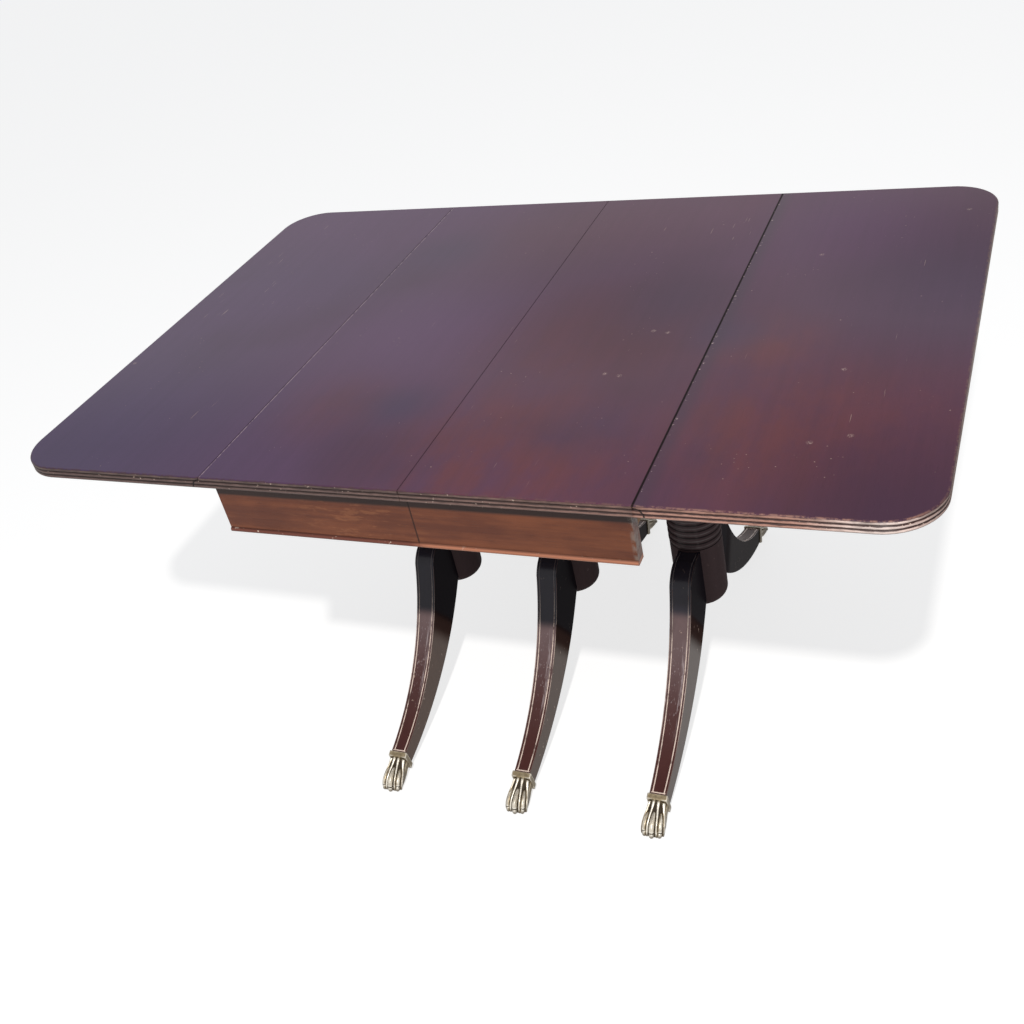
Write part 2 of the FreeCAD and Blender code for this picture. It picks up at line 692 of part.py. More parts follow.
# Sabre leg, drawn outwards along X from the column's axis
leg = new_body("leg_front_centre")
profile = sketch_on(leg, "XZ_Plane")
run(profile, [
    ("column_radius - leg_bite", "leg_root", "belly_radius", "left"),
    ("ankle_out - ankle_back", ANKLE_LOW),
    ("ankle_out", "ankle_top", "sweep_radius", "right"),
    ("knee_out", "leg_top - knee_drop", "knee_radius", "left"),
    ("knee_start", "leg_top"),
    ("column_radius - leg_bite", "leg_top"),
])
pad_both(leg, profile, "leg_width")
taper = sketch_on(leg, "XY_Plane")
for sign, order in (("", 1), ("-", -1)):
    run(taper, [
        ("knee_out", f"{sign}leg_width / 2"),
        (f"ankle_out + {PAST}", f"{sign}leg_tip_width / 2"),
        (f"ankle_out + {PAST}", f"{sign}leg_width"),
        ("knee_out", f"{sign}leg_width"),
    ][::order])
cut_both(leg, taper, "2 * table_height")
cope = sketch_on(leg, "XY_Plane")
disc(cope, "0", "0", "column_radius + tail_clearance")
cut_both(leg, cope, "2 * table_height")
tail = sketch_on(leg, "XY_Plane", TAIL_BOTTOM)
run(tail, [
    ("column_radius - tail_depth + tail_clearance", "-tail_back + 1.5 * tail_clearance"),
    ("column_radius + leg_bite", f"-{TAIL_MOUTH} + 1.5 * tail_clearance"),
    ("column_radius + leg_bite", f"{TAIL_MOUTH} - 1.5 * tail_clearance"),
    ("column_radius - tail_depth + tail_clearance", "tail_back - 1.5 * tail_clearance"),
])
pad(leg, tail, f"{TAIL_TOP} - {TAIL_BOTTOM}")
spigot = sketch_on(leg, "XZ_Plane")
run(spigot, [
    ("ankle_out - spigot_root", SPIGOT_LOW),
    (SPIGOT_END, f"{SPIGOT_LOW} - spigot_slope"),
    (SPIGOT_END, f"{SPIGOT_HIGH} - 2 * spigot_slope"),
    ("ankle_out - spigot_root", SPIGOT_HIGH),
])
pad_both(leg, spigot, "spigot_width")

# Cast paw foot: collar round the ankle, hollow instep, four toes
foot = new_body("foot_front_centre")
PAW_END = "(ankle_out + paw_length)"
TOE_X = "(ankle_out + paw_length - toe_back)"
COLLAR_X = "(ankle_out + collar_length)"
SLANT = "(collar_proud * ankle_back / ankle_depth)"
TOE_ROWS = ("-toe_pitch", "0", "toe_pitch")
profile = sketch_on(foot, "XZ_Plane")
run(profile, [
    ("ankle_out - ankle_back + heel_set", "0"),
    (f"{PAW_END} - sole_round", "0", "sole_round * 1.25", "left"),
    (PAW_END, "sole_round"),
    (PAW_END, "toe_height - nose_drop", "nose_radius", "left"),
    (TOE_X, "toe_height", "instep_radius", "right"),
    (COLLAR_X, f"toe_height + instep_radius - sqrt(instep_radius ^ 2 - ({TOE_X} - {COLLAR_X}) ^ 2)"),
    (COLLAR_X, "ankle_top + collar_proud - collar_step"),
    (f"ankle_out + {SLANT}", "ankle_top + collar_proud"),
    (f"ankle_out - ankle_back - {SLANT}", f"{ANKLE_LOW} - collar_proud"),
])
pad_both(foot, profile, "paw_width")
plan = sketch_on(foot, "XY_Plane")
rectangle(plan, "ankle_out - 2 * paw_width", f"{PAW_END} + paw_width", "-paw_width", "paw_width")
HEEL = "(leg_tip_width / 2 + collar_proud)"
run(plan, [
    ("ankle_out - paw_width", f"-{HEEL}"),
    (COLLAR_X, f"-{HEEL}"),
    (COLLAR_X, f"-({HEEL} - collar_step)", "flank_radius", "right"),
    (f"{PAW_END} - toe_flare", "-paw_width / 2", "nose_round", "left"),
    (PAW_END, "-paw_width / 4"),
    (PAW_END, "paw_width / 4", "nose_round", "left"),
    (f"{PAW_END} - toe_flare", "paw_width / 2", "flank_radius", "right"),
    (COLLAR_X, f"{HEEL} - collar_step"),
    (COLLAR_X, HEEL),
    ("ankle_out - paw_width", HEEL),
])
cut_both(foot, plan, "table_height")
for row in TOE_ROWS:
    flute = sketch_on(foot, "YZ_Plane", TOE_X)
    disc(flute, row, "toe_height", "flute_radius")
    groove = turned_about(foot, flute, "toe_height + instep_radius", upright=False, kind="Groove")
    bind(groove, "Angle", "flute_sweep")
    doc.recompute()
clefts = sketch_on(foot, "XY_Plane")
for row in TOE_ROWS:
    disc(clefts, PAW_END, row, "flute_radius")
cut_both(foot, clefts, "table_height")
socket = sketch_on(foot, "XZ_Plane")
run(socket, [
    ("ankle_out - spigot_root", f"{SPIGOT_LOW} - spigot_clearance"),
    (f"{SPIGOT_END} + spigot_clearance", f"{SPIGOT_LOW} - spigot_slope - spigot_clearance"),
    (f"{SPIGOT_END} + spigot_clearance", f"{SPIGOT_HIGH} - 2 * spigot_slope + spigot_clearance"),
    ("ankle_out - spigot_root", f"{SPIGOT_HIGH} + spigot_clearance"),
])
cut_both(foot, socket, "spigot_width + 2 * spigot_clearance")

# The legs and feet stand to the front and back of three columns in a row
pieces = [top, leaf, fixed_plates, leaf_plates, hinge_pins, apron, bead, side_rail, corner_blocks, loper,
          keepers, slides, cleat]
pieces += [mirrored(apron, "apron_back_right"), mirrored(bead, "bead_back_right"),
           mirrored(loper, "loper_back_right")]
OPPOSITE = {"right": "left", "front": "back", "back": "front"}
for item in list(pieces):
    words = [OPPOSITE.get(word, word) for word in item.Label.split("_")]
    pieces.append(again(item, "_".join(words), turn=180))
FRONT = Rotation(Vector(0, 0, 1), -90)
leg.Placement = Placement(Vector(), FRONT)
foot.Placement = Placement(Vector(), FRONT)
pieces += [dowels, centre_slides, beam, column, leg, foot,
           again(leg, "leg_back_centre", turn=90), again(foot, "foot_back_centre", turn=90)]
for side, pitch in (("right", PITCH), ("left", f"-{PITCH}")):
    pieces.append(again(column, f"column_{side}", x=pitch))
    for end, turn in (("front", -90), ("back", 90)):
        pieces.append(again(leg, f"leg_{end}_{side}", turn=turn, x=pitch))
        pieces.append(again(foot, f"foot_{end}_{side}", turn=turn, x=pitch))
doc.recompute()

faults = [item.Label for item in doc.Objects if {"Invalid", "Error"} & set(item.State)]
shapes = {item.Label: Part.getShape(item) for item in pieces}
faults += [label for label, shape in shapes.items() if not shape.isValid() or not shape.Solids]
if faults:
    raise RuntimeError("not sound: " + ", ".join(faults))
os.makedirs("parts", exist_ok=True)
for label, shape in shapes.items():
    shape.exportStep(f"parts/{label}.step")
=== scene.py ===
import math

import bmesh
import bpy
from mathutils import Matrix, Quaternion, Vector
from mathutils.bvhtree import BVHTree


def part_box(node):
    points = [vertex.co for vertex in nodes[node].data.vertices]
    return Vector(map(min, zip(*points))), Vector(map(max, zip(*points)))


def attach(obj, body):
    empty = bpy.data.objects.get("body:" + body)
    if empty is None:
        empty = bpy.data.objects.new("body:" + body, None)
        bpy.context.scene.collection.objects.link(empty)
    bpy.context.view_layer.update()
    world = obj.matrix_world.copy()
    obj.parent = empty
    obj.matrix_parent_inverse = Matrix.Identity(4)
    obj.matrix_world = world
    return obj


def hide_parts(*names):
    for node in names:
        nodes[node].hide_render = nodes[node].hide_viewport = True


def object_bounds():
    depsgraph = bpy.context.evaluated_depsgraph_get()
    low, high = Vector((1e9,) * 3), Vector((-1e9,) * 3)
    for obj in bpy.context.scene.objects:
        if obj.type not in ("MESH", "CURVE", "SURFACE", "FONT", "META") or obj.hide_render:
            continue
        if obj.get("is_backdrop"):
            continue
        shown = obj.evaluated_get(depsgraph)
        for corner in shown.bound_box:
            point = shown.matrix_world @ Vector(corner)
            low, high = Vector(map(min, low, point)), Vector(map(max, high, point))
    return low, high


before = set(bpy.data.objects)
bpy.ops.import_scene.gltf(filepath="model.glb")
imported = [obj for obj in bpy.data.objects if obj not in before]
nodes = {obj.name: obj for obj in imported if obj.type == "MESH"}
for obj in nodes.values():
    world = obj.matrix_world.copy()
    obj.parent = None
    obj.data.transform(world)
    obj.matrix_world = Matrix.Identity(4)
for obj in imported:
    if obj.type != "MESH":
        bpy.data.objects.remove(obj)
cad_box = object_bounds()
scene = bpy.context.scene
scene.view_settings.view_transform = "Standard"


def middle_of(node):
    """The middle of a CAD node's box."""
    low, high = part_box(node)
    return (low + high) / 2


# The body that each pedestal rides on
PEDESTAL_BODY = {"right": "right_half", "centre": "centre_pedestal", "left": "left_half"}

# Sizes of the table that the frame gives, in metres
HALF_LENGTH, HALF_DEPTH, TOP_Z = cad_box[1]
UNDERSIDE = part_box("top_right")[0].z
PIN_X = middle_of("hinge_pins_right").x
PIN_Z = middle_of("hinge_pins_right").z
HINGE_LINE = (PIN_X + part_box("leaf_right")[0].x) / 2
APRON_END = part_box("apron_front_right")[1].x
BEAD_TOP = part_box("bead_front_right")[1].z
STATIONS = {station: middle_of(f"column_{station}").x for station in PEDESTAL_BODY}
COLUMN_PITCH = STATIONS["right"]

# Sizes that no box gives, as in the part's source, in metres
CORNER_RADIUS = 0.080
RULE_GAP = 0.0005
RULE_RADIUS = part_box("top_right")[1].x - PIN_X + RULE_GAP / 2
REEDS = 3
REED_PITCH = (TOP_Z - UNDERSIDE) / REEDS
RINGS = 5
RING_PITCH = 0.014
RING_LOW = 0.322
RING_HIGH = RING_LOW + RINGS * RING_PITCH
COLUMN_RADIUS = 0.048
LEG_HALF_WIDTH = 0.020
LEG_TIP_HALF_WIDTH = 0.0155
KNEE_OUT = 0.120
ANKLE_OUT = 0.380
ANKLE_TOP = 0.046
ANKLE_LOW = 0.015
ANKLE_BACK = 0.006


# Finishes
WHITE = (1.0, 1.0, 1.0)


def paint(red, green, blue):
    """A colour as the eye reads it, 0 to 255, turned by the sRGB curve into the light it gives back."""
    def channel(value):
        value /= 255
        return value / 12.92 if value <= 0.04045 else ((value + 0.055) / 1.055) ** 2.4
    return (channel(red), channel(green), channel(blue))


class Value:
    """A number or colour that changes over a surface; maths on it adds Math nodes."""

    def __init__(self, recipe, socket):
        self.recipe = recipe
        self.socket = socket

    def out(self, name):
        """Another output of the same node."""
        return Value(self.recipe, self.socket.node.outputs[name])

    def maths(self, operation, *inputs):
        return self.recipe.node("ShaderNodeMath", {"operation": operation}, dict(enumerate(inputs)))

    def __add__(self, other):
        return self.maths("ADD", self, other)

    def __sub__(self, other):
        return self.maths("SUBTRACT", self, other)

    def __rsub__(self, other):
        return self.maths("SUBTRACT", other, self)

    def __mul__(self, other):
        return self.maths("MULTIPLY", self, other)

    def __truediv__(self, other):
        return self.maths("DIVIDE", self, other)

    def __pow__(self, other):
        return self.maths("POWER", self, other)

    def __abs__(self):
        return self.maths("ABSOLUTE", self)

    def __round__(self):
        return self.maths("ROUND", self)

    def __or__(self, other):
        """The larger of two values."""
        return self.maths("MAXIMUM", self, other)

    def __and__(self, other):
        """The smaller of two values."""
        return self.maths("MINIMUM", self, other)

    __radd__ = __add__
    __rmul__ = __mul__
    __ror__ = __or__
    __rand__ = __and__

    def rise(self, low, high):
        """0 up to low and 1 from high on, with a smooth step between; high may be the smaller."""
        settings = {"interpolation_type": "SMOOTHSTEP"}
        sockets = {"Value": self, "From Min": low, "From Max": high}
        return self.recipe.node("ShaderNodeMapRange", settings, sockets)

    def within(self, start, full, fading, end):
        """1 from full to fading, with a smooth step from 0 at the start and to 0 at the end."""
        return self.rise(start, full) * self.rise(end, fading)

    def wave(self):
        """0 at every whole number and 1 halfway between them."""
        return self.maths("COSINE", (self - 0.5) * (2 * math.pi)) * 0.5 + 0.5


class Recipe:
    """The nodes of one material or of the studio's light."""

    def __init__(self, tree):
        self.tree = tree

    def node(self, kind, settings, sockets):
        """Adds a node, with its settings first and then the values or links of its sockets."""
        made = self.tree.nodes.new(kind)
        for name, value in settings.items():
            setattr(made, name, value)
        for key, value in sockets.items():
            self.join(made.inputs[key], value)
        return Value(self, made.outputs[0])

    def join(self, socket, value):
        """Links a value to a socket, or sets the socket to a number or colour."""
        if isinstance(value, Value):
            self.tree.links.new(value.socket, socket)
        else:
            socket.default_value = (*value, 1.0) if socket.type == "RGBA" else value

    def seen(self):
        """1 for what is seen, straight or in a reflection; 0 for the light that falls on the table."""
        path = self.node("ShaderNodeLightPath", {}, {})
        return path.out("Is Camera Ray") | path.out("Is Glossy Ray") | path.out("Is Transmission Ray")


class Finish(Recipe):
    """One material, whose pattern follows the place of each point on the piece, in metres."""

    def __init__(self, name):
        self.material = bpy.data.materials.new(name)
        self.material.use_nodes = True
        super().__init__(self.material.node_tree)
        self.shader = self.tree.nodes["Principled BSDF"]
        self.place = self.node("ShaderNodeTexCoord", {}, {}).out("Object")
        apart = self.node("ShaderNodeSeparateXYZ", {}, {"Vector": self.place})
        self.x, self.y, self.z = apart.out("X"), apart.out("Y"), apart.out("Z")

    def noise(self, scale, detail=3.0, roughness=0.55, stretch=(1, 1, 1), shift=(0, 0, 0)):
        """Cloudy value about 0.5; scale is how many clouds there are to a metre."""
        settings = {"operation": "MULTIPLY_ADD"}
        sockets = {0: self.place, 1: stretch, 2: shift}
        place = self.node("ShaderNodeVectorMath", settings, sockets)
        sockets = {"Vector": place, "Scale": scale, "Detail": detail, "Roughness": roughness}
        return self.node("ShaderNodeTexNoise", {}, sockets)

    def mix(self, amount, first, second):
        """The first colour where the amount is 0 and the second where it is 1."""
        sockets = {0: amount, 6: first, 7: second}
        return self.node("ShaderNodeMix", {"data_type": "RGBA"}, sockets).out(2)

    def tone(self, colour, amount):
        """The colour times a number."""
        settings = {"operation": "SCALE"}
        return self.node("ShaderNodeVectorMath", settings, {0: colour, "Scale": amount})

    def bump(self, height, distance):
        """A normal that leans as the height changes; the distance is how deep it looks."""
        return self.node("ShaderNodeBump", {}, {"Height": height, "Distance": distance, "Strength": 1.0})

    def dress(self, **sockets):
        """Sets the shader's sockets and gives the finished material."""
        for name, value in sockets.items():
            self.join(self.shader.inputs[name.replace("_", " ")], value)
        return self.material


def wood_figure(finish, along):
    """Grain, pores and clouds of wood whose grain runs along X, Y or Z."""
    lengthwise = [1 if axis == along else 30 for axis in "XYZ"]
    fine = [6 if axis == along else 150 for axis in "XYZ"]
    grain = finish.noise(2.6, 5, 0.6, lengthwise)
    pores = finish.noise(6.0, 2, 0.5, fine)
    clouds = finish.noise(5.0, 4, 0.6)
    return grain, pores, clouds


# Patches of colour in the polish of the top: x, y, reach and strength; the blue ones stand partly for
# painted sky reflection
WARM_PATCHES = (
    (0.52, -0.33, 0.36, 1.0), (0.44, -0.08, 0.16, 0.8), (0.14, -0.40, 0.36, 1.0),
    (0.14, -0.12, 0.32, 0.45), (-0.20, -0.28, 0.17, 0.45),
)
DUSKY_PATCHES = ((0.68, -0.47, 0.30, 0.85), (0.74, 0.30, 0.36, 0.55))
BROWN_PATCHES = ((-0.02, 0.36, 0.36, 0.35), (0.20, -0.04, 0.32, 0.55))
BLUE_PATCHES = (
    (-0.26, 0.28, 0.14, 0.5), (0.25, 0.06, 0.18, 0.4), (0.37, -0.04, 0.10, 0.6),
    (0.22, -0.33, 0.12, 0.35), (-0.10, -0.28, 0.10, 0.7), (0.70, 0.10, 0.34, 0.55),
)
LILAC_PATCH = (-0.18, -0.03, 0.28, 0.8)
PLUM_PATCH = (0.50, 0.36, 0.30, 0.7)
SLATE_PATCH = (-0.66, -0.44, 0.50, 0.8)
# Places where the polish is worn thin, and a painted highlight on the reeds at the right front corner, in
# the same terms
THIN_PATCHES = ((0.66, -0.40, 0.55, 0.42), (0.74, 0.25, 0.40, 0.3), (0.15, 0.08, 0.42, 0.2))
REED_HIGHLIGHT = (0.655, -0.49, 0.11, 1.0)
# Chips in the polish: x and y, and the reach of each
CHIPS = (
    (0.205, -0.170), (0.230, -0.175), (0.245, -0.035), (0.270, -0.040), (0.350, -0.050), (0.350, -0.115),
    (0.465, 0.230), (0.560, -0.145), (0.595, -0.315), (0.545, -0.335), (0.685, 0.395), (-0.715, -0.165),
)
CHIP_REACH = 0.006


def patch(finish, x, y, reach, strength):
    """A soft round patch on the top, at its full strength in the middle and 0 at the reach."""
    away = ((finish.x - x) ** 2.0 + (finish.y - y) ** 2.0) ** 0.5
    return away.rise(reach, 0.0) * strength


def strongest(finish, patches):
    """Several patches, each place taking the strongest of them."""
    spread = 0.0
    for row in patches:
        spread = patch(finish, *row) | spread
    return spread


def outline_distance(finish):
    """How far a point lies inside the rounded outline of the whole top."""
    across = abs(finish.x) - (HALF_LENGTH - CORNER_RADIUS)
    along = abs(finish.y) - (HALF_DEPTH - CORNER_RADIUS)
    corner = ((across | 0.0) ** 2.0 + (along | 0.0) ** 2.0) ** 0.5
    return CORNER_RADIUS - corner - ((across | along) & 0.0)


def seam_distance(finish):
    """How far a point lies from the nearest seam: the middle one or a rule joint."""
    return abs(finish.x) & abs(abs(finish.x) - HINGE_LINE)


def top_polish(finish, grain, pores, clouds):
    """Polish on the flat of the top: violet on the left and red on the right, with soft patches; the violet
    and blue are partly the polish's own colour and partly painted sky reflection.
    """
    broad = finish.noise(1.7, 3, 0.5, shift=(3.1, 0.4, 0.0))
    redness = (finish.x + (broad - 0.5) * 0.9).rise(-0.70, 0.70)
    face = finish.mix(redness, paint(68, 45, 77), paint(69, 34, 57))
    streaks = finish.noise(2.4, 4, 0.6, (9, 2.2, 9), (0.0, 5.2, 1.0)).rise(0.28, 0.70)
    blotches = finish.noise(8, 4, 0.65, (1.8, 1.0, 1.0), (1.0, 4.0, 0.0)).rise(0.34, 0.62)
    warm = strongest(finish, WARM_PATCHES) * (0.30 + streaks * 0.30 + blotches * 0.45)
    face = finish.mix(warm, face, paint(89, 41, 47))
    dusk = finish.noise(2.6, 3, 0.5, shift=(7.0, 1.3, 2.0)).rise(0.48, 0.70) * 0.45
    face = finish.mix(dusk | strongest(finish, DUSKY_PATCHES), face, paint(52, 25, 47))
    face = finish.mix(patch(finish, *LILAC_PATCH), face, paint(78, 49, 82))
    far = finish.y.rise(0.15, 0.45) * finish.x.rise(0.42, 0.28) * 0.8
    face = finish.mix(far, face, finish.mix(redness, paint(76, 45, 80), paint(78, 34, 54)))
    face = finish.mix(patch(finish, *PLUM_PATCH), face, paint(72, 34, 74))
    face = finish.mix(strongest(finish, BROWN_PATCHES), face, paint(66, 26, 36))
    # Blue patches: partly painted sky reflection
    for row in BLUE_PATCHES:
        face = finish.mix(patch(finish, *row), face, paint(52, 38, 66))
    face = finish.mix(patch(finish, *SLATE_PATCH), face, paint(56, 43, 74))
    return finish.tone(face, 0.82 + grain * 0.30 + clouds * 0.26 - pores.rise(0.60, 0.75) * 0.10)


def fine_scratches(finish):
    """Fine scratches along the grain, in a few places."""
    scratch = finish.noise(1.0, 1, 0.5, (420, 16, 200)).rise(0.755, 0.79)
    return scratch * finish.noise(4, 2, shift=(2, 2, 2)).rise(0.57, 0.64)


def wear_face(finish, face, scratch):
    """Pale specks, scratches and chips in the polish."""
    specks = finish.noise(210, 1, 0.5).rise(0.735, 0.775) * finish.noise(9, 2).rise(0.56, 0.62)
    face = finish.mix((specks | scratch) * 0.55, face, paint(176, 150, 140))
    broken = finish.noise(420, 2, 0.6).rise(0.44, 0.60) * 0.8
    for x, y in CHIPS:
        face = finish.mix(patch(finish, x, y, CHIP_REACH, broken), face, paint(184, 160, 152))
    return face


def seam_dirt(finish):
    """Dirt in the seams, the most of it in the right rule joint."""
    right_joint = abs(finish.x - HINGE_LINE).rise(0.0026, 0.0010)
    return seam_distance(finish).rise(0.0018, 0.0005) * 0.40 | right_joint


def wear_seams(finish, face, dirt, flaking):
    """Dirt in the seams, flakes just right of each rule joint, and dull polish by the right one."""
    past_right = finish.x - HINGE_LINE
    past_left = finish.x + HINGE_LINE
    dulled = past_right.within(-0.0003, 0.0017, 0.0047, 0.0307)
    face = finish.mix(dulled * 0.55, face, paint(54, 38, 56))
    face = finish.mix(dirt, face, paint(26, 14, 18))
    left_flakes = past_left.within(0.0006, 0.0011, 0.0022, 0.0034) * flaking.rise(0.38, 0.54)
    face = finish.mix(left_flakes * 0.70, face, paint(158, 136, 148))
    right_flakes = past_right.within(0.0010, 0.0016, 0.0030, 0.0075) * flaking.rise(0.62, 0.68)
    return finish.mix(right_flakes * 0.75, face, paint(206, 184, 180))


def edge_brightness(finish):
    """How bright the worn edge is, partly wear and partly painted highlight: more to the right, most on the
    right leaf and at the front.
    """
    front = (finish.y + HALF_DEPTH).rise(0.043, 0.008)
    right_leaf = (finish.x - HINGE_LINE).rise(-0.0023, 0.0027)
    return (finish.x.rise(-0.20, 0.90) * 0.5 + right_leaf * 0.35) * (0.25 + front * 0.75)


def wear_arris(finish, face, inside, flaking, brightness):
    """Flaked polish along the arris of the top."""
    flakes = finish.mix(brightness, paint(66, 42, 48), paint(168, 126, 110))
    return finish.mix(inside.rise(0.0046, 0.0016) * flaking.rise(0.40, 0.60) * 0.75, face, flakes)


def reeded_edge(finish, brightness):
    """The reeds round the edge: dark in the grooves, pale and streaky where the ridges are worn, with a
    painted highlight towards the right front corner.
    """
    depth = (TOP_Z - finish.z) / REED_PITCH
    patches = finish.noise(24, 3, 0.65).rise(0.30, 0.68)
    streaks = finish.noise(46, 3, 0.7, (1, 1, 9), (2.0, 1.0, 0.0)).rise(0.30, 0.70)
    worn = finish.mix(brightness, paint(112, 91, 86), paint(214, 162, 144))
    # Painted highlight on the reeds at the right front corner
    worn = finish.mix(patch(finish, *REED_HIGHLIGHT), worn, paint(252, 232, 224))
    top_reed = depth.rise(1.10, 0.85) * (0.30 - patches * 0.22)
    worn = finish.tone(worn, 0.60 + streaks * 0.28 + patches * 0.24 - top_reed)
    groove = finish.mix(brightness, paint(54, 41, 39), paint(62, 35, 33))
    ridge = (depth.wave() + (streaks - 0.5) * 0.35).rise(0.26, 0.80)
    bruises = finish.noise(230, 1, 0.5).rise(0.715, 0.75) * finish.noise(15, 2).rise(0.48, 0.58)
    return finish.mix(bruises * 0.8, finish.mix(ridge, groove, worn), paint(206, 184, 170))


def part_rule_joints(finish, reeds):
    """The dark lines down the edge at the seams, which curve about the pins at the rule joints."""
    past_hinge = abs(finish.x) - HINGE_LINE
    from_pin = (past_hinge ** 2.0 + (finish.z - PIN_Z) ** 2.0) ** 0.5
    curve = abs(from_pin - RULE_RADIUS).rise(0.0018, 0.0008) * past_hinge.rise(-0.0004, 0.0002)
    curve_top = PIN_Z + RULE_RADIUS
    upright = seam_distance(finish).rise(0.0012, 0.0004) * finish.z.rise(curve_top - 0.001, curve_top)
    return finish.mix((curve | upright) * 0.9, reeds, paint(24, 14, 14))


def polished_top():
    """Old polished mahogany of the top and its leaves, with worn reeds and a bare underside."""
    finish = Finish("top_mahogany")
    grain, pores, clouds = wood_figure(finish, "Y")
    scratch = fine_scratches(finish)
    dirt = seam_dirt(finish)
    flaking = finish.noise(140, 3, 0.7)
    inside = outline_distance(finish)
    brightness = edge_brightness(finish)
    face = top_polish(finish, grain, pores, clouds)
    face = wear_face(finish, face, scratch)
    face = wear_seams(finish, face, dirt, flaking)
    face = wear_arris(finish, face, inside, flaking, brightness)
    reeds = part_rule_joints(finish, reeded_edge(finish, brightness))
    rim = inside.rise(0.0060, 0.0045) * finish.z.rise(TOP_Z - 0.0006, TOP_Z - 0.0018)
    colour = finish.mix(rim, face, reeds)
    under = finish.z.rise(UNDERSIDE + 0.0008, UNDERSIDE + 0.0003)
    colour = finish.mix(under, colour, finish.tone(paint(96, 62, 46), 0.7 + grain * 0.6))

    thin = strongest(finish, THIN_PATCHES) | finish.y.rise(-0.10, -0.45) * 0.28
    coat = (1 - thin) * (1 - under) * (1 - dirt * 0.6) * 0.80
    height = grain * 0.35 - pores.rise(0.58, 0.75) * 0.5 - scratch * 0.6
    return finish.dress(
        Base_Color=colour, Roughness=0.46 + clouds * 0.12 + under * 0.25,
        Normal=finish.bump(height, 0.00025), Specular_IOR_Level=0.0,
        Coat_Weight=coat, Coat_Roughness=0.38,
    )


# Middle of the flame figure in the left apron boards
FLAME_X = -0.10


def apron_mahogany():
    """Warm, faded mahogany of the apron boards, and the bead below them, paler on the right."""
    finish = Finish("apron_mahogany")
    grain, pores, clouds = wood_figure(finish, "X")
    right = finish.x.rise(-0.02, 0.02)
    figure = grain * 0.5 + finish.noise(9.0, 5, 0.6, (1, 1, 3)) * 0.5
    board = finish.mix(figure.rise(0.36, 0.64), paint(92, 49, 34), paint(122, 70, 46))
    board = finish.mix(clouds.rise(0.52, 0.72) * (0.5 - right * 0.3), board, paint(86, 46, 34))
    flame = finish.noise(26, 4, 0.65, (1, 1, 4.5), (3.0, 0.0, 1.0)).rise(0.52, 0.64)
    flame = flame * abs(finish.x - FLAME_X).rise(0.16, 0.03)
    board = finish.mix(flame * 0.4, board, paint(152, 98, 66))
    board = finish.tone(board, 1.06 - pores.rise(0.58, 0.75) * 0.20)
    board = finish.tone(board, 1.0 - finish.x.rise(0.05, 0.32) * 0.14)
    # A dark band under the top: painted shadow of the top's overhang
    overhang_shadow = (UNDERSIDE - finish.z).rise(0.0255, 0.0185)
    board = finish.mix(overhang_shadow * 0.88, board, paint(42, 29, 28))
    dust = (APRON_END - finish.x).rise(0.008, 0.002) * finish.noise(60, 3, 0.7).rise(0.42, 0.6)
    board = finish.mix(dust * 0.7, board, paint(132, 120, 112))
    middle_joint = abs(finish.x).rise(0.0022, 0.0006)
    board = finish.mix(middle_joint * 0.75, board, paint(44, 26, 22))

    bead = finish.mix(right, paint(112, 64, 52), paint(176, 116, 90))
    bead = finish.tone(bead, 0.7 + grain * 0.6)
    chips = finish.noise(150, 2, 0.6).rise(0.66, 0.70) * (1 - right * 0.7)
    bead = finish.mix(chips, bead, paint(214, 190, 174))
    above_bead = finish.z - BEAD_TOP
    colour = finish.mix(above_bead.rise(0.0012, -0.0006), board, bead)
    groove = abs(above_bead).rise(0.0022, 0.0004)
    colour = finish.mix(groove * 0.6, colour, paint(46, 26, 22))

    height = grain * 0.5 - pores.rise(0.58, 0.75) * 0.6
    return finish.dress(
        Base_Color=colour, Roughness=0.38 + clouds * 0.14, Normal=finish.bump(height, 0.0003),
        Specular_IOR_Level=0.25,
    )


# Slope of the line outside which the legs are worn and painted as lit, and inside which they are painted as
# shade, along the edge of the top's shadow: how far out it lies for its height
SHADE_LINE_SLOPE = 0.73
# How much nearer to the column that line lies on the right pedestal, where the leaf's edge casts the shadow,
# in metres
SHADE_LINE_LIFT = 0.048
# Heights of the bend in a leg, where the painted highlights lie, for the wood and for its beads: start,
# full, fading and end
LEG_BEND = (0.075, 0.125, 0.175, 0.215)
BEAD_BEND = (0.07, 0.12, 0.22, 0.27)


def leg_across(finish):
    """How far a point lies to the right of the middle of its pedestal."""
    return finish.x - round(finish.x / COLUMN_PITCH) * COLUMN_PITCH


def leg_inset(finish):
    """How far a point lies inside the nearer arris of its leg."""
    share = ((abs(finish.y) - KNEE_OUT) / (ANKLE_OUT - KNEE_OUT) | 0.0) & 1.0
    half = LEG_HALF_WIDTH - share * (LEG_HALF_WIDTH - LEG_TIP_HALF_WIDTH)
    return half - abs(leg_across(finish))


def wear_rings(finish, colour):
    """The rings of the columns: dark in the grooves, and grey on the crowns, partly worn and partly painted
    highlight.
    """
    ringed = finish.z.within(RING_LOW - 0.001, RING_LOW, RING_HIGH, RING_HIGH + 0.001)
    crown = ((finish.z - RING_LOW) / RING_PITCH).wave()
    colour = finish.mix(ringed * crown.rise(0.30, 0.0) * 0.85, colour, paint(30, 25, 27))
    wear = finish.noise(34, 3, 0.6).rise(0.36, 0.62)
    # Grey crowns: partly wear, partly painted highlight
    rubbed_and_lit = ringed * crown.rise(0.80, 1.0) * (0.35 + wear * 0.65)
    return finish.mix(rubbed_and_lit, colour, paint(118, 108, 108))


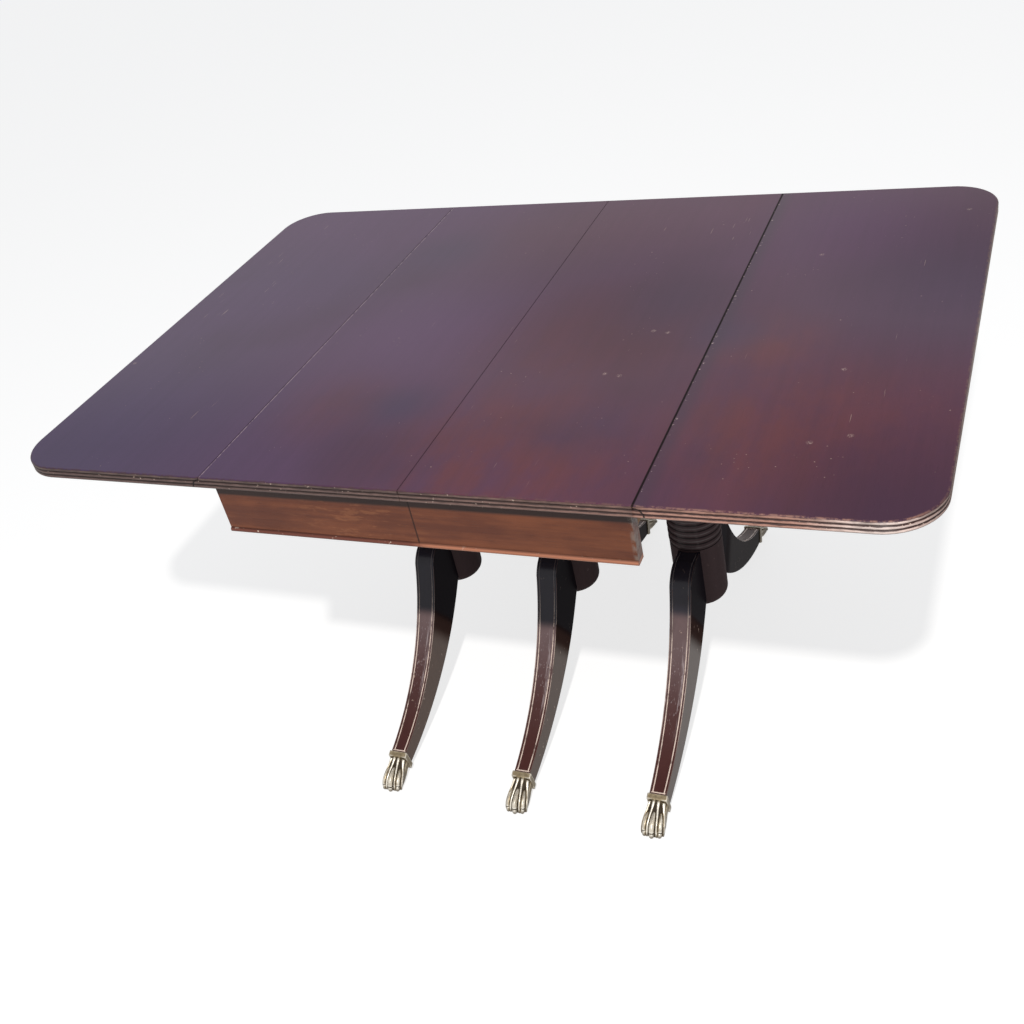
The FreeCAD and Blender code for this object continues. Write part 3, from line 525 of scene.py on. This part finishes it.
def turned_mahogany():
    """Near-black old polish on the columns and knees, painted as shade above the edge of the top's shadow;
    worn to red-brown down the legs below it, and painted as lit there.
    """
    finish = Finish("turned_mahogany")
    grain, pores, clouds = wood_figure(finish, "Z")
    across, inset = leg_across(finish), leg_inset(finish)
    from_axis = (across ** 2.0 + finish.y ** 2.0) ** 0.5
    column = (from_axis - COLUMN_RADIUS).rise(0.0020, 0.0012)
    side = inset.rise(0.0008, 0.0003)
    # The edge of the top's shadow: above it the legs are painted as shade, below it as worn and lit
    shade_line = finish.z * SHADE_LINE_SLOPE - abs(finish.y) - finish.x.rise(0.12, 0.20) * SHADE_LINE_LIFT
    well_lit = shade_line.rise(-0.030, -0.075)
    rubbed_and_lit = (shade_line + (clouds - 0.5) * 0.016).rise(0.004, -0.018)
    # The sides of the back legs stay painted as shade
    rubbed_and_lit = rubbed_and_lit * (1 - side * finish.y.rise(-0.02, 0.02) * 0.85) * (1 - column)
    # Painted shade: dark polish with a painted bluish sky sheen on the knees' tops, darker on the sides
    polish = finish.mix(side, paint(52, 49, 58), paint(38, 33, 38))
    polish = finish.mix(column, polish, paint(88, 72, 73))
    # Below the shadow's edge: paler with a painted sheen at first, deeper red-brown lower down
    brown = finish.mix(finish.z.rise(0.205, 0.095), paint(108, 89, 90), paint(78, 47, 45))
    # Painted grey-brown sheen on the lit sides, warmer on the left legs; dark red-brown just below the
    # shadow's edge
    lit_side_sheen = finish.mix(finish.x.rise(-0.10, 0.20), paint(104, 84, 74), paint(112, 99, 93))
    brown = finish.mix(side, brown, finish.mix(well_lit, paint(66, 49, 45), lit_side_sheen))
    colour = finish.tone(finish.mix(rubbed_and_lit, polish, brown), 0.74 + grain * 0.34 + clouds * 0.18)
    colour = wear_rings(finish, colour)

    bend = finish.z.within(*LEG_BEND)
    # Painted highlights at the bend: pale flecks, partly wear, and streaks of painted shine beside the inner
    # beads
    flecks = finish.noise(1.0, 2, 0.6, (520, 130, 130)).rise(0.63, 0.70)
    painted_shine = finish.noise(1.0, 2, 0.6, (900, 22, 22), (1.0, 0.0, 0.0)).rise(0.50, 0.60)
    beside_bead = across.rise(0.004, 0.007) * inset.rise(0.0062, 0.0072)
    flecks_and_shine = (flecks * 0.45 | painted_shine * beside_bead * 0.6) * bend * (1 - side)
    colour = finish.mix(flecks_and_shine, colour, paint(196, 184, 186))
    nicks = finish.noise(110, 2, 0.6).rise(0.67, 0.71) * finish.noise(12, 2).rise(0.50, 0.60)
    colour = finish.mix(nicks * (0.12 + rubbed_and_lit * 0.55), colour, paint(196, 172, 158))

    coated = (1 - column * 0.7) * (1 - side * (1 - rubbed_and_lit * well_lit))
    height = grain * 0.4 - pores.rise(0.60, 0.75) * 0.4
    return finish.dress(
        Base_Color=colour, Roughness=0.30 + clouds * 0.16 + nicks * 0.2,
        Normal=finish.bump(height, 0.0002), Specular_IOR_Level=0.0,
        Coat_Weight=0.05 + coated * 0.42 - rubbed_and_lit * 0.10, Coat_Roughness=0.24,
    )


def bead_mahogany():
    """Beads along the legs, worn through the polish to pale wood, less so on the arris; painted grey as
    shade above the edge of the top's shadow, and pale on the arris only at the bend, as painted highlight.
    """
    finish = Finish("leg_bead_mahogany")
    rubbing = finish.noise(38, 3, 0.65)
    # Painted shade: grey above the edge of the top's shadow, pale tan below it
    pale = finish.mix(finish.z.rise(0.29, 0.17), paint(92, 84, 86), paint(238, 216, 202))
    # The arris bead is pale only at the bend, as painted highlight
    arris = leg_inset(finish).rise(0.0032, 0.0022)
    rubbed_and_lit = rubbing.rise(0.30, 0.52) * (1 - arris * (0.92 - finish.z.within(*BEAD_BEND) * 0.65))
    colour = finish.mix(rubbed_and_lit, paint(80, 52, 47), pale)
    return finish.dress(Base_Color=colour, Roughness=0.30 + rubbing * 0.2)


def inner_beech(along):
    """Plain brown carcase wood, dry and dust-covered, never polished."""
    finish = Finish("inner_beech_" + along.lower())
    grain, pores, clouds = wood_figure(finish, along)
    open_pores = pores.rise(0.56, 0.72)
    colour = finish.mix(grain.rise(0.34, 0.66), paint(116, 82, 56), paint(160, 122, 86))
    colour = finish.mix(clouds.rise(0.50, 0.74) * 0.6, colour, paint(92, 66, 48))
    colour = finish.tone(colour, 1.05 - open_pores * 0.3)
    return finish.dress(
        Base_Color=colour, Roughness=0.62 + clouds * 0.2,
        Normal=finish.bump(grain * 0.8 - open_pores, 0.0004),
    )


def hinge_steel():
    """Dull iron with brown rust in blotches."""
    finish = Finish("hinge_steel")
    rust = finish.noise(60, 4, 0.65).rise(0.46, 0.66)
    colour = finish.mix(rust, paint(122, 118, 112), paint(96, 62, 42))
    fine = finish.noise(700, 2, 0.6)
    return finish.dress(
        Base_Color=colour, Metallic=1.0 - rust * 0.8, Roughness=0.42 + rust * 0.35,
        Normal=finish.bump(fine * (0.3 + rust), 0.0002),
    )


def foot_brass():
    """Old brass: cream where it is worn, olive and dark brown in the hollows, and darker on the flanks and
    the back feet as painted shade.
    """
    finish = Finish("foot_brass")
    relief = finish.node("ShaderNodeAttribute", {"attribute_name": "relief"}, {}).out("Fac")
    blotch = finish.noise(150, 4, 0.6)
    proud = relief + (blotch - 0.5) * 0.4
    ridge = proud.rise(0.35, 1.0)
    hollow = proud.rise(0.32, -0.34)
    colour = finish.mix(blotch.rise(0.35, 0.7), paint(150, 133, 103), paint(182, 167, 138))
    colour = finish.mix(ridge * 0.85, colour, paint(242, 237, 226))
    colour = finish.mix(hollow, colour, paint(50, 38, 24))
    # Painted shade on the flanks
    flank_shade = abs(leg_across(finish)).rise(0.0165, 0.0190) * (1 - ridge * 0.6)
    colour = finish.mix(flank_shade * 0.7, colour, paint(78, 70, 58))
    collar = (abs(finish.y) - ANKLE_OUT).rise(0.014, 0.010)
    colour = finish.mix(collar * 0.4, colour, paint(120, 106, 80))
    blotched = finish.noise(60, 3, 0.6).rise(0.54, 0.70) * 0.35
    near_floor = finish.z.rise(0.014, 0.007) * 0.8
    # The back feet painted darker as shade under the top
    back_feet_shade = finish.y.rise(0.0, 0.1) * 0.55
    colour = finish.mix(blotched | near_floor | back_feet_shade, colour, paint(84, 71, 50))
    return finish.dress(
        Base_Color=colour, Metallic=0.60 - hollow * 0.45, Roughness=0.30 + blotch * 0.16 + hollow * 0.35,
        Normal=finish.bump(finish.noise(900, 3, 0.6), 0.00008),
    )


def dress_nodes():
    """Gives every CAD node its finish, by the first word of its name; hands back brass and steel."""
    top, apron, turned, steel = polished_top(), apron_mahogany(), turned_mahogany(), hinge_steel()
    lengthwise, crosswise, brass = inner_beech("X"), inner_beech("Y"), foot_brass()
    coats = {
        "top_": top, "leaf_": top, "apron_": apron, "bead_": apron, "column_": turned, "leg_": turned,
        "foot_": brass, "hinge_": steel, "side_": crosswise, "bearer_": crosswise, "corner_": crosswise,
        "loper_": lengthwise, "slides_": lengthwise, "alignment_": lengthwise,
    }
    for name, piece in nodes.items():
        coat = next(coat for start, coat in coats.items() if name.startswith(start))
        for place in piece.material_slots:
            place.material = coat
    return brass, steel


# Making pieces
def mesh_of(shape, name):
    """Turns a bmesh into a mesh."""
    mesh = bpy.data.meshes.new(name)
    shape.to_mesh(mesh)
    shape.free()
    return mesh


def set_out(name, data):
    """Puts a mesh, lamp or camera into the scene."""
    thing = bpy.data.objects.new(name, data)
    scene.collection.objects.link(thing)
    return thing


def finish_piece(mesh, name, body, coat, stands_for=None):
    """Makes a mesh a smooth, finished piece that rides on a body and may stand for a CAD node."""
    mesh.materials.clear()
    mesh.materials.append(coat)
    for face in mesh.polygons:
        face.use_smooth = True
    piece = set_out(name, mesh)
    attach(piece, body)
    if stands_for:
        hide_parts(stands_for)


def smooth_run(points, steps):
    """Rows of numbers carried smoothly through the given rows."""
    run = []
    for index in range(len(points) - 1):
        before = points[max(index - 1, 0)]
        start, end = points[index], points[index + 1]
        after = points[min(index + 2, len(points) - 1)]
        for step in range(steps):
            t = step / steps
            row = []
            for a, b, c, d in zip(before, start, end, after):
                pull = (2 * a - 5 * b + 4 * c - d) * t * t + (3 * b - a - 3 * c + d) * t * t * t
                row.append(b + ((c - a) * t + pull) / 2)
            run.append(row)
    run.append(list(points[-1]))
    return run


def ring_edges(shape, ring):
    """The edges that join the points of one ring."""
    corners = set(ring)
    return [edge for edge in shape.edges if corners.issuperset(edge.verts)]


def draw_out(shape, stands, segments):
    """A closed bar: a ring of edges drawn out through one stand after another."""
    ring = bmesh.ops.create_circle(shape, cap_ends=True, segments=segments, radius=1.0)["verts"]
    bmesh.ops.transform(shape, matrix=stands[0], verts=ring)
    for before, stand in zip(stands, stands[1:]):
        drawn = bmesh.ops.extrude_edge_only(shape, edges=ring_edges(shape, ring))["geom"]
        ring = [part for part in drawn if isinstance(part, bmesh.types.BMVert)]
        bmesh.ops.transform(shape, matrix=stand @ before.inverted(), verts=ring)
    bmesh.ops.contextual_create(shape, geom=ring_edges(shape, ring))
    bmesh.ops.recalc_face_normals(shape, faces=shape.faces)


def sweep_round(shape, run, segments):
    """A round bar along rows of x, y, z and radius."""
    places = [Vector(row[:3]) for row in run]
    stands = []
    for index, row in enumerate(run):
        ahead = places[min(index + 1, len(run) - 1)] - places[max(index - 1, 0)]
        turn = ahead.to_track_quat("Z", "X").to_matrix().to_4x4()
        stands.append(Matrix.Translation(places[index]) @ turn @ Matrix.Scale(row[3], 4))
    draw_out(shape, stands, segments)


# Beads along a leg: distance in from the arris and radius; they start thin at the column
LEG_BEADS = ((0.0053, 0.0013), (0.0007, 0.0007))
BEAD_START = COLUMN_RADIUS + 0.003
BEAD_END = ANKLE_OUT - 0.0035
BEAD_STEPS = 56
BEAD_SEGMENTS = 8
BEAD_THIN_SHARE = 0.55
BEAD_SUNK_SHARE = 0.45
# Bead across a leg: distance in from the arris, radius and how far its middle is sunk
CROSS_INSET = 0.0016
CROSS_RADIUS = 0.0013
CROSS_SUNK = 0.0006


def half_width(out):
    """Half the width of a leg's top face, at a distance out from its column."""
    share = min(max((out - KNEE_OUT) / (ANKLE_OUT - KNEE_OUT), 0), 1)
    return LEG_HALF_WIDTH + (LEG_TIP_HALF_WIDTH - LEG_HALF_WIDTH) * share


def leg_heights(station, side):
    """Gives the height of one leg's top face at x and y, found from above."""
    leg = nodes[f"leg_{side}_{station}"]
    faces = [face.vertices[:] for face in leg.data.polygons]
    tree = BVHTree.FromPolygons([vertex.co for vertex in leg.data.vertices], faces)

    def height(x, y):
        return tree.ray_cast(Vector((x, y, 1.0)), Vector((0, 0, -1)))[0].z
    return height


def run_bead(shape, height, middle, sign, inset, radius):
    """One bead down a leg, at a distance inside an arris; a negative inset is the left arris."""
    run = []
    for step in range(BEAD_STEPS + 1):
        share = step / BEAD_STEPS
        out = BEAD_START + (BEAD_END - BEAD_START) * share
        x = middle + math.copysign(half_width(out) - abs(inset), inset)
        slim = radius * (BEAD_THIN_SHARE + (1 - BEAD_THIN_SHARE) * share)
        run.append((x, sign * out, height(x, sign * out) - slim * BEAD_SUNK_SHARE, slim))
    sweep_round(shape, run, BEAD_SEGMENTS)


def cross_bead(shape, height, middle, sign):
    """The bead across a leg, just above its collar."""
    reach = half_width(BEAD_END) - CROSS_INSET
    y = sign * BEAD_END
    places = [middle + reach * share for share in (-1, -0.5, 0, 0.5, 1)]
    run = [(x, y, height(x, y) - CROSS_SUNK, CROSS_RADIUS) for x in places]
    sweep_round(shape, run, BEAD_SEGMENTS)


def run_leg_beads(coat):
    """Raised beads on the top of every leg: two along each arris, and one across above the collar."""
    for station, middle in STATIONS.items():
        for side, sign in (("front", -1), ("back", 1)):
            height = leg_heights(station, side)
            shape = bmesh.new()
            for inset, radius in LEG_BEADS:
                run_bead(shape, height, middle, sign, -inset, radius)
                run_bead(shape, height, middle, sign, inset, radius)
            cross_bead(shape, height, middle, sign)
            name = f"leg_beads_{side}_{station}"
            finish_piece(mesh_of(shape, name), name, PEDESTAL_BODY[station], coat)


# Paw rows: across, out from the ankle, height and radius, in millimetres
TENDONS = (
    ((-12.6, 10, 37.5, 3.0), (-13.0, 14, 35.5, 2.8), (-15.0, 23, 29.5, 2.1), (-17.6, 33, 23.5, 2.1),
     (-19.0, 43, 16.5, 2.4), (-19.0, 50, 9, 2.4), (-18.2, 52.5, 3.5, 2.2)),
    ((-4.3, 10, 41, 3.0), (-4.4, 14.5, 39.5, 2.8), (-5.2, 24, 35, 2.0), (-6.8, 36, 29.5, 1.9),
     (-8.0, 47, 23, 2.1), (-8.5, 55, 13.5, 2.2), (-8.5, 57.5, 4.5, 2.2)),
)
TOES = (
    ((-10.2, 23, 27, 1.4), (-11.2, 28, 28, 2.7), (-12.8, 38, 25, 3.8), (-13.6, 47.5, 19.5, 4.2),
     (-13.8, 53, 12.5, 3.9)),
    ((0.0, 24, 29.5, 1.4), (0.0, 30, 31, 3.0), (0.0, 41, 27.5, 4.2), (0.0, 51.5, 21.5, 4.8),
     (0.0, 57.5, 13.5, 4.3)),
)
CLAWS = (
    ((-13.8, 53.2, 10.5, 3.9), (-13.6, 55.8, 7.2, 4.1), (-13.4, 56.2, 4.2, 3.4)),
    ((0.0, 57.4, 11.0, 4.2), (0.0, 59.0, 7.4, 4.5), (0.0, 59.2, 4.4, 3.7)),
)
# Core sections: out from the ankle, half width, lowest and highest point, in millimetres
CORE = (
    (4, 17.8, 12, 42), (14, 17.2, 4, 38.5), (22, 17.8, 0, 34.5), (36, 19.8, 0, 28),
    (46, 20.0, 0, 21), (53, 17.5, 0, 11), (56, 14.0, 1, 6),
)
CORE_SIDES = 8
MILLIMETRE = 0.001
TOE_STEPS = 5
TOE_SEGMENTS = 10
# Collar: how proud it stands of the leg, its length, its fall to the toes and its rounding, in metres
COLLAR_PROUD = 0.003
COLLAR_LENGTH = 0.0105
COLLAR_FALL = 0.45
COLLAR_ROUNDING = 0.0012
# Skin of the cast: its fineness in metres, and how often it is smoothed, for good and to find the relief
SKIN_FINENESS = 0.0005
SKIN_PASSES = 2
RELIEF_PASSES = 90


def cast_paw():
    """One paw foot about the ankle: collar, core, tendons, toes and claws, melted into one skin."""
    shape = bmesh.new()
    for row in TENDONS + TOES + CLAWS:
        for mirror in ((-1, 1) if row[-1][0] else (1,)):
            mirrored = [(mirror * across, out, height, radius) for across, out, height, radius in row]
            sweep_round(shape, smooth_run(mirrored, TOE_STEPS), TOE_SEGMENTS)
    draw_core(shape)
    bmesh.ops.scale(shape, vec=(MILLIMETRE, MILLIMETRE, MILLIMETRE), verts=shape.verts)
    band_collar(shape)
    return keep_relief(melt_skin(shape))


def draw_core(shape):
    """The solid under the toes, eight-sided, drawn out along the foot."""
    flat = math.cos(math.pi / CORE_SIDES)
    upright = Matrix.Rotation(math.pi / 2, 4, "X") @ Matrix.Rotation(math.pi / CORE_SIDES, 4, "Z")
    stands = []
    for out, half, low, high in CORE:
        size = Matrix.Diagonal((half / flat, 1.0, (high - low) / 2 / flat, 1.0))
        stands.append(Matrix.Translation((0, out, (high + low) / 2)) @ size @ upright)
    draw_out(shape, stands, CORE_SIDES)


def band_collar(shape):
    """The flat band where the brass meets the leg, which leans and falls away as the leg's end does."""
    made = bmesh.ops.create_cube(shape, size=1.0)["verts"]
    wide = 2 * (LEG_TIP_HALF_WIDTH + COLLAR_PROUD)
    tall = ANKLE_TOP - ANKLE_LOW + 2 * COLLAR_PROUD
    bmesh.ops.scale(shape, vec=(wide, COLLAR_LENGTH, tall), verts=made)
    bmesh.ops.translate(shape, vec=(0, COLLAR_LENGTH / 2, (ANKLE_TOP + ANKLE_LOW) / 2), verts=made)
    lean = Matrix.Identity(4)
    lean[1][2] = ANKLE_BACK / (ANKLE_TOP - ANKLE_LOW)
    lean[1][3] = -ANKLE_TOP * lean[1][2]
    slope = Matrix.Identity(4)
    slope[2][1] = -COLLAR_FALL
    bmesh.ops.transform(shape, matrix=lean @ slope, verts=made)
    edges = list({edge for vertex in made for edge in vertex.link_edges})
    bmesh.ops.bevel(
        shape, geom=edges, offset=COLLAR_ROUNDING, segments=2, profile=0.5, affect="EDGES", material=-1,
    )


def melt_skin(shape):
    """One closed skin round everything in the shape."""
    bmesh.ops.recalc_face_normals(shape, faces=shape.faces)
    rough = mesh_of(shape, "paw_rough")
    stand_in = set_out("paw_rough", rough)
    remesh = stand_in.modifiers.new("skin", "REMESH")
    remesh.mode = "VOXEL"
    remesh.voxel_size = SKIN_FINENESS
    bpy.context.view_layer.update()
    melted = stand_in.evaluated_get(bpy.context.evaluated_depsgraph_get())
    skin = bpy.data.meshes.new_from_object(melted)
    bpy.data.objects.remove(stand_in)
    bpy.data.meshes.remove(rough)
    return skin


def soften(shape, passes, factor):
    """Draws every point towards its neighbours, several times over."""
    for turn in range(passes):
        bmesh.ops.smooth_vert(
            shape, verts=shape.verts, factor=factor, use_axis_x=True, use_axis_y=True, use_axis_z=True,
        )


def keep_relief(skin):
    """Smooths the skin, flattens its sole and keeps how far each point stands out, in millimetres."""
    shape = bmesh.new()
    shape.from_mesh(skin)
    soften(shape, passes=SKIN_PASSES, factor=0.5)
    for vertex in shape.verts:
        vertex.co.z = max(vertex.co.z, 0.0)
    shape.normal_update()
    relief = shape.verts.layers.float.new("relief")
    cast = [(vertex.co.copy(), vertex.normal.copy()) for vertex in shape.verts]
    soften(shape, passes=RELIEF_PASSES, factor=0.8)
    for vertex, (place, normal) in zip(shape.verts, cast):
        vertex[relief] = (place - vertex.co).dot(normal) / MILLIMETRE
        vertex.co = place
    shape.to_mesh(skin)
    shape.free()
    return skin


def set_paws(coat):
    """Sets a copy of the cast paw at the end of every leg, where it stands for the CAD foot."""
    cast = cast_paw()
    ankle = Matrix.Translation((0, ANKLE_OUT, 0))
    for station, middle in STATIONS.items():
        for side, turn in (("front", math.pi), ("back", 0.0)):
            mesh = cast.copy()
            mesh.transform(Matrix.Translation((middle, 0, 0)) @ Matrix.Rotation(turn, 4, "Z") @ ankle)
            name = f"paw_{side}_{station}"
            foot = f"foot_{side}_{station}"
            finish_piece(mesh, name, PEDESTAL_BODY[station], coat, foot)
    bpy.data.meshes.remove(cast)


# Places of the hinges along the pins of one side
HINGES = (-0.316, 0.0, 0.316)
# Screws of one hinge leaf: out from the pins, and along from the middle of the hinge
SCREWS = ((0.017, -0.020), (0.017, 0.020), (0.033, 0.0), (0.049, -0.020), (0.049, 0.020))
# Screw head, in metres: its slot is cut from what lies above the rim, and turns from screw to screw
SCREW_RADIUS = 0.0036
SCREW_CROWN_RADIUS = 0.0030
SCREW_HEIGHT = 0.0006
SCREW_ROUNDING = 0.0004
SCREW_RIM_Z = 0.0001
SLOT_HALF_WIDTH = 0.00045
SLOT_SLACK = 0.00005
SLOT_DEPTH = 0.0005
SLOT_TURN = 0.7


def drive_hinge_screws(coat):
    """Slotted screws in the hinge leaves under the drop leaves."""
    for side, sign in (("right", 1), ("left", -1)):
        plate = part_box(f"hinge_plates_leaf_{side}")[0].z
        shape = bmesh.new()
        for hinge in HINGES:
            for number, (out, along) in enumerate(SCREWS):
                place = (sign * (PIN_X + out), hinge + along, plate)
                turn_screw(shape, place, SLOT_TURN * number + hinge)
        bmesh.ops.recalc_face_normals(shape, faces=shape.faces)
        name = f"hinge_screws_{side}"
        finish_piece(mesh_of(shape, name), name, f"{side}_leaf", coat)


def turn_screw(shape, place, angle):
    """One screw head: a shallow dome, parted by its slot."""
    head = bmesh.new()
    bmesh.ops.create_cone(
        head, cap_ends=True, segments=20,
        radius1=SCREW_RADIUS, radius2=SCREW_CROWN_RADIUS, depth=SCREW_HEIGHT,
    )
    crown = [edge for edge in head.edges if all(vertex.co.z > 0 for vertex in edge.verts)]
    bmesh.ops.bevel(
        head, geom=crown, offset=SCREW_ROUNDING, segments=2, profile=0.5, affect="EDGES", material=-1,
    )
    for wall in (-SLOT_HALF_WIDTH, SLOT_HALF_WIDTH):
        geom = head.verts[:] + head.edges[:] + head.faces[:]
        bmesh.ops.bisect_plane(head, geom=geom, plane_co=(wall, 0, 0), plane_no=(1, 0, 0))
    for vertex in head.verts:
        if abs(vertex.co.x) < SLOT_HALF_WIDTH + SLOT_SLACK and vertex.co.z > SCREW_RIM_Z:
            vertex.co.z -= SLOT_DEPTH
    stand = Matrix.Translation(place) @ Matrix.Rotation(math.pi, 4, "X") @ Matrix.Rotation(angle, 4, "Z")
    bmesh.ops.transform(head, matrix=stand, verts=head.verts)
    screw = mesh_of(head, "screw")
    shape.from_mesh(screw)
    bpy.data.meshes.remove(screw)


# Floor, light and camera; places in metres
FLOOR_RADIUS = 14
FLOOR_GREY = (0.42, 0.42, 0.42)
FLOOR_GLOW = 0.74
SKY_COLOUR = (0.92, 0.95, 1.0)
SKY_STRENGTH = 0.36
LAMP_PLACE = Vector((1.05, -2.71, 3.7))
LAMP_TARGET = Vector((0.0, -0.1, 0.4))
LAMP_SIZE = 0.15
LAMP_POWER = 134
LAMP_COLOUR = (1.0, 0.97, 0.93)
CAMERA_PLACE = (0.83259, -1.67503, 1.66979)
CAMERA_GAZE = Vector((-0.40235, 0.71804, -0.56792))
CAMERA_ROLL = math.radians(-13.63)
CAMERA_LENS = 42.34
SENSOR_WIDTH = 36


def lay_floor():
    """A wide grey floor that glows white to the camera and still takes shadows."""
    shape = bmesh.new()
    bmesh.ops.create_circle(shape, cap_ends=True, segments=96, radius=FLOOR_RADIUS)
    mesh = mesh_of(shape, "studio_floor")
    finish = Finish("studio_floor")
    coat = finish.dress(
        Base_Color=FLOOR_GREY, Roughness=1.0, Specular_IOR_Level=0.0,
        Emission_Color=finish.tone(WHITE, finish.seen() * FLOOR_GLOW), Emission_Strength=1.0,
    )
    mesh.materials.append(coat)
    floor = set_out("studio_floor", mesh)
    floor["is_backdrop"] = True


def light_studio():
    """A dim, bluish sky that looks white to the camera, and a small lamp high up at the front right."""
    world = bpy.data.worlds.new("studio")
    world.use_nodes = True
    scene.world = world
    recipe = Recipe(world.node_tree)
    sky = recipe.node("ShaderNodeBackground", {}, {"Color": SKY_COLOUR, "Strength": SKY_STRENGTH})
    white = recipe.node("ShaderNodeBackground", {}, {"Color": WHITE, "Strength": 1.0})
    either = recipe.node("ShaderNodeMixShader", {}, {0: recipe.seen(), 1: sky, 2: white})
    recipe.join(world.node_tree.nodes["World Output"].inputs["Surface"], either)

    light = bpy.data.lights.new("key", "AREA")
    light.shape = "DISK"
    light.size = LAMP_SIZE
    light.energy = LAMP_POWER
    light.color = LAMP_COLOUR
    lamp = set_out("key", light)
    lamp.location = LAMP_PLACE
    lamp.rotation_euler = (LAMP_TARGET - LAMP_PLACE).to_track_quat("-Z", "Y").to_euler()


def set_camera():
    """The camera, where the photo was taken from."""
    data = bpy.data.cameras.new("photo_camera")
    data.sensor_width = SENSOR_WIDTH
    data.lens = CAMERA_LENS
    camera = set_out("photo_camera", data)
    camera.location = CAMERA_PLACE
    roll = Quaternion((0, 0, 1), CAMERA_ROLL)
    camera.rotation_euler = (CAMERA_GAZE.to_track_quat("-Z", "Y") @ roll).to_euler()
    scene.camera = camera


brass, steel = dress_nodes()
set_paws(brass)
run_leg_beads(bead_mahogany())
drive_hinge_screws(steel)
lay_floor()
light_studio()
set_camera()

boxes = {"cad": [list(corner) for corner in cad_box], "visual": [list(corner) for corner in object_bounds()]}
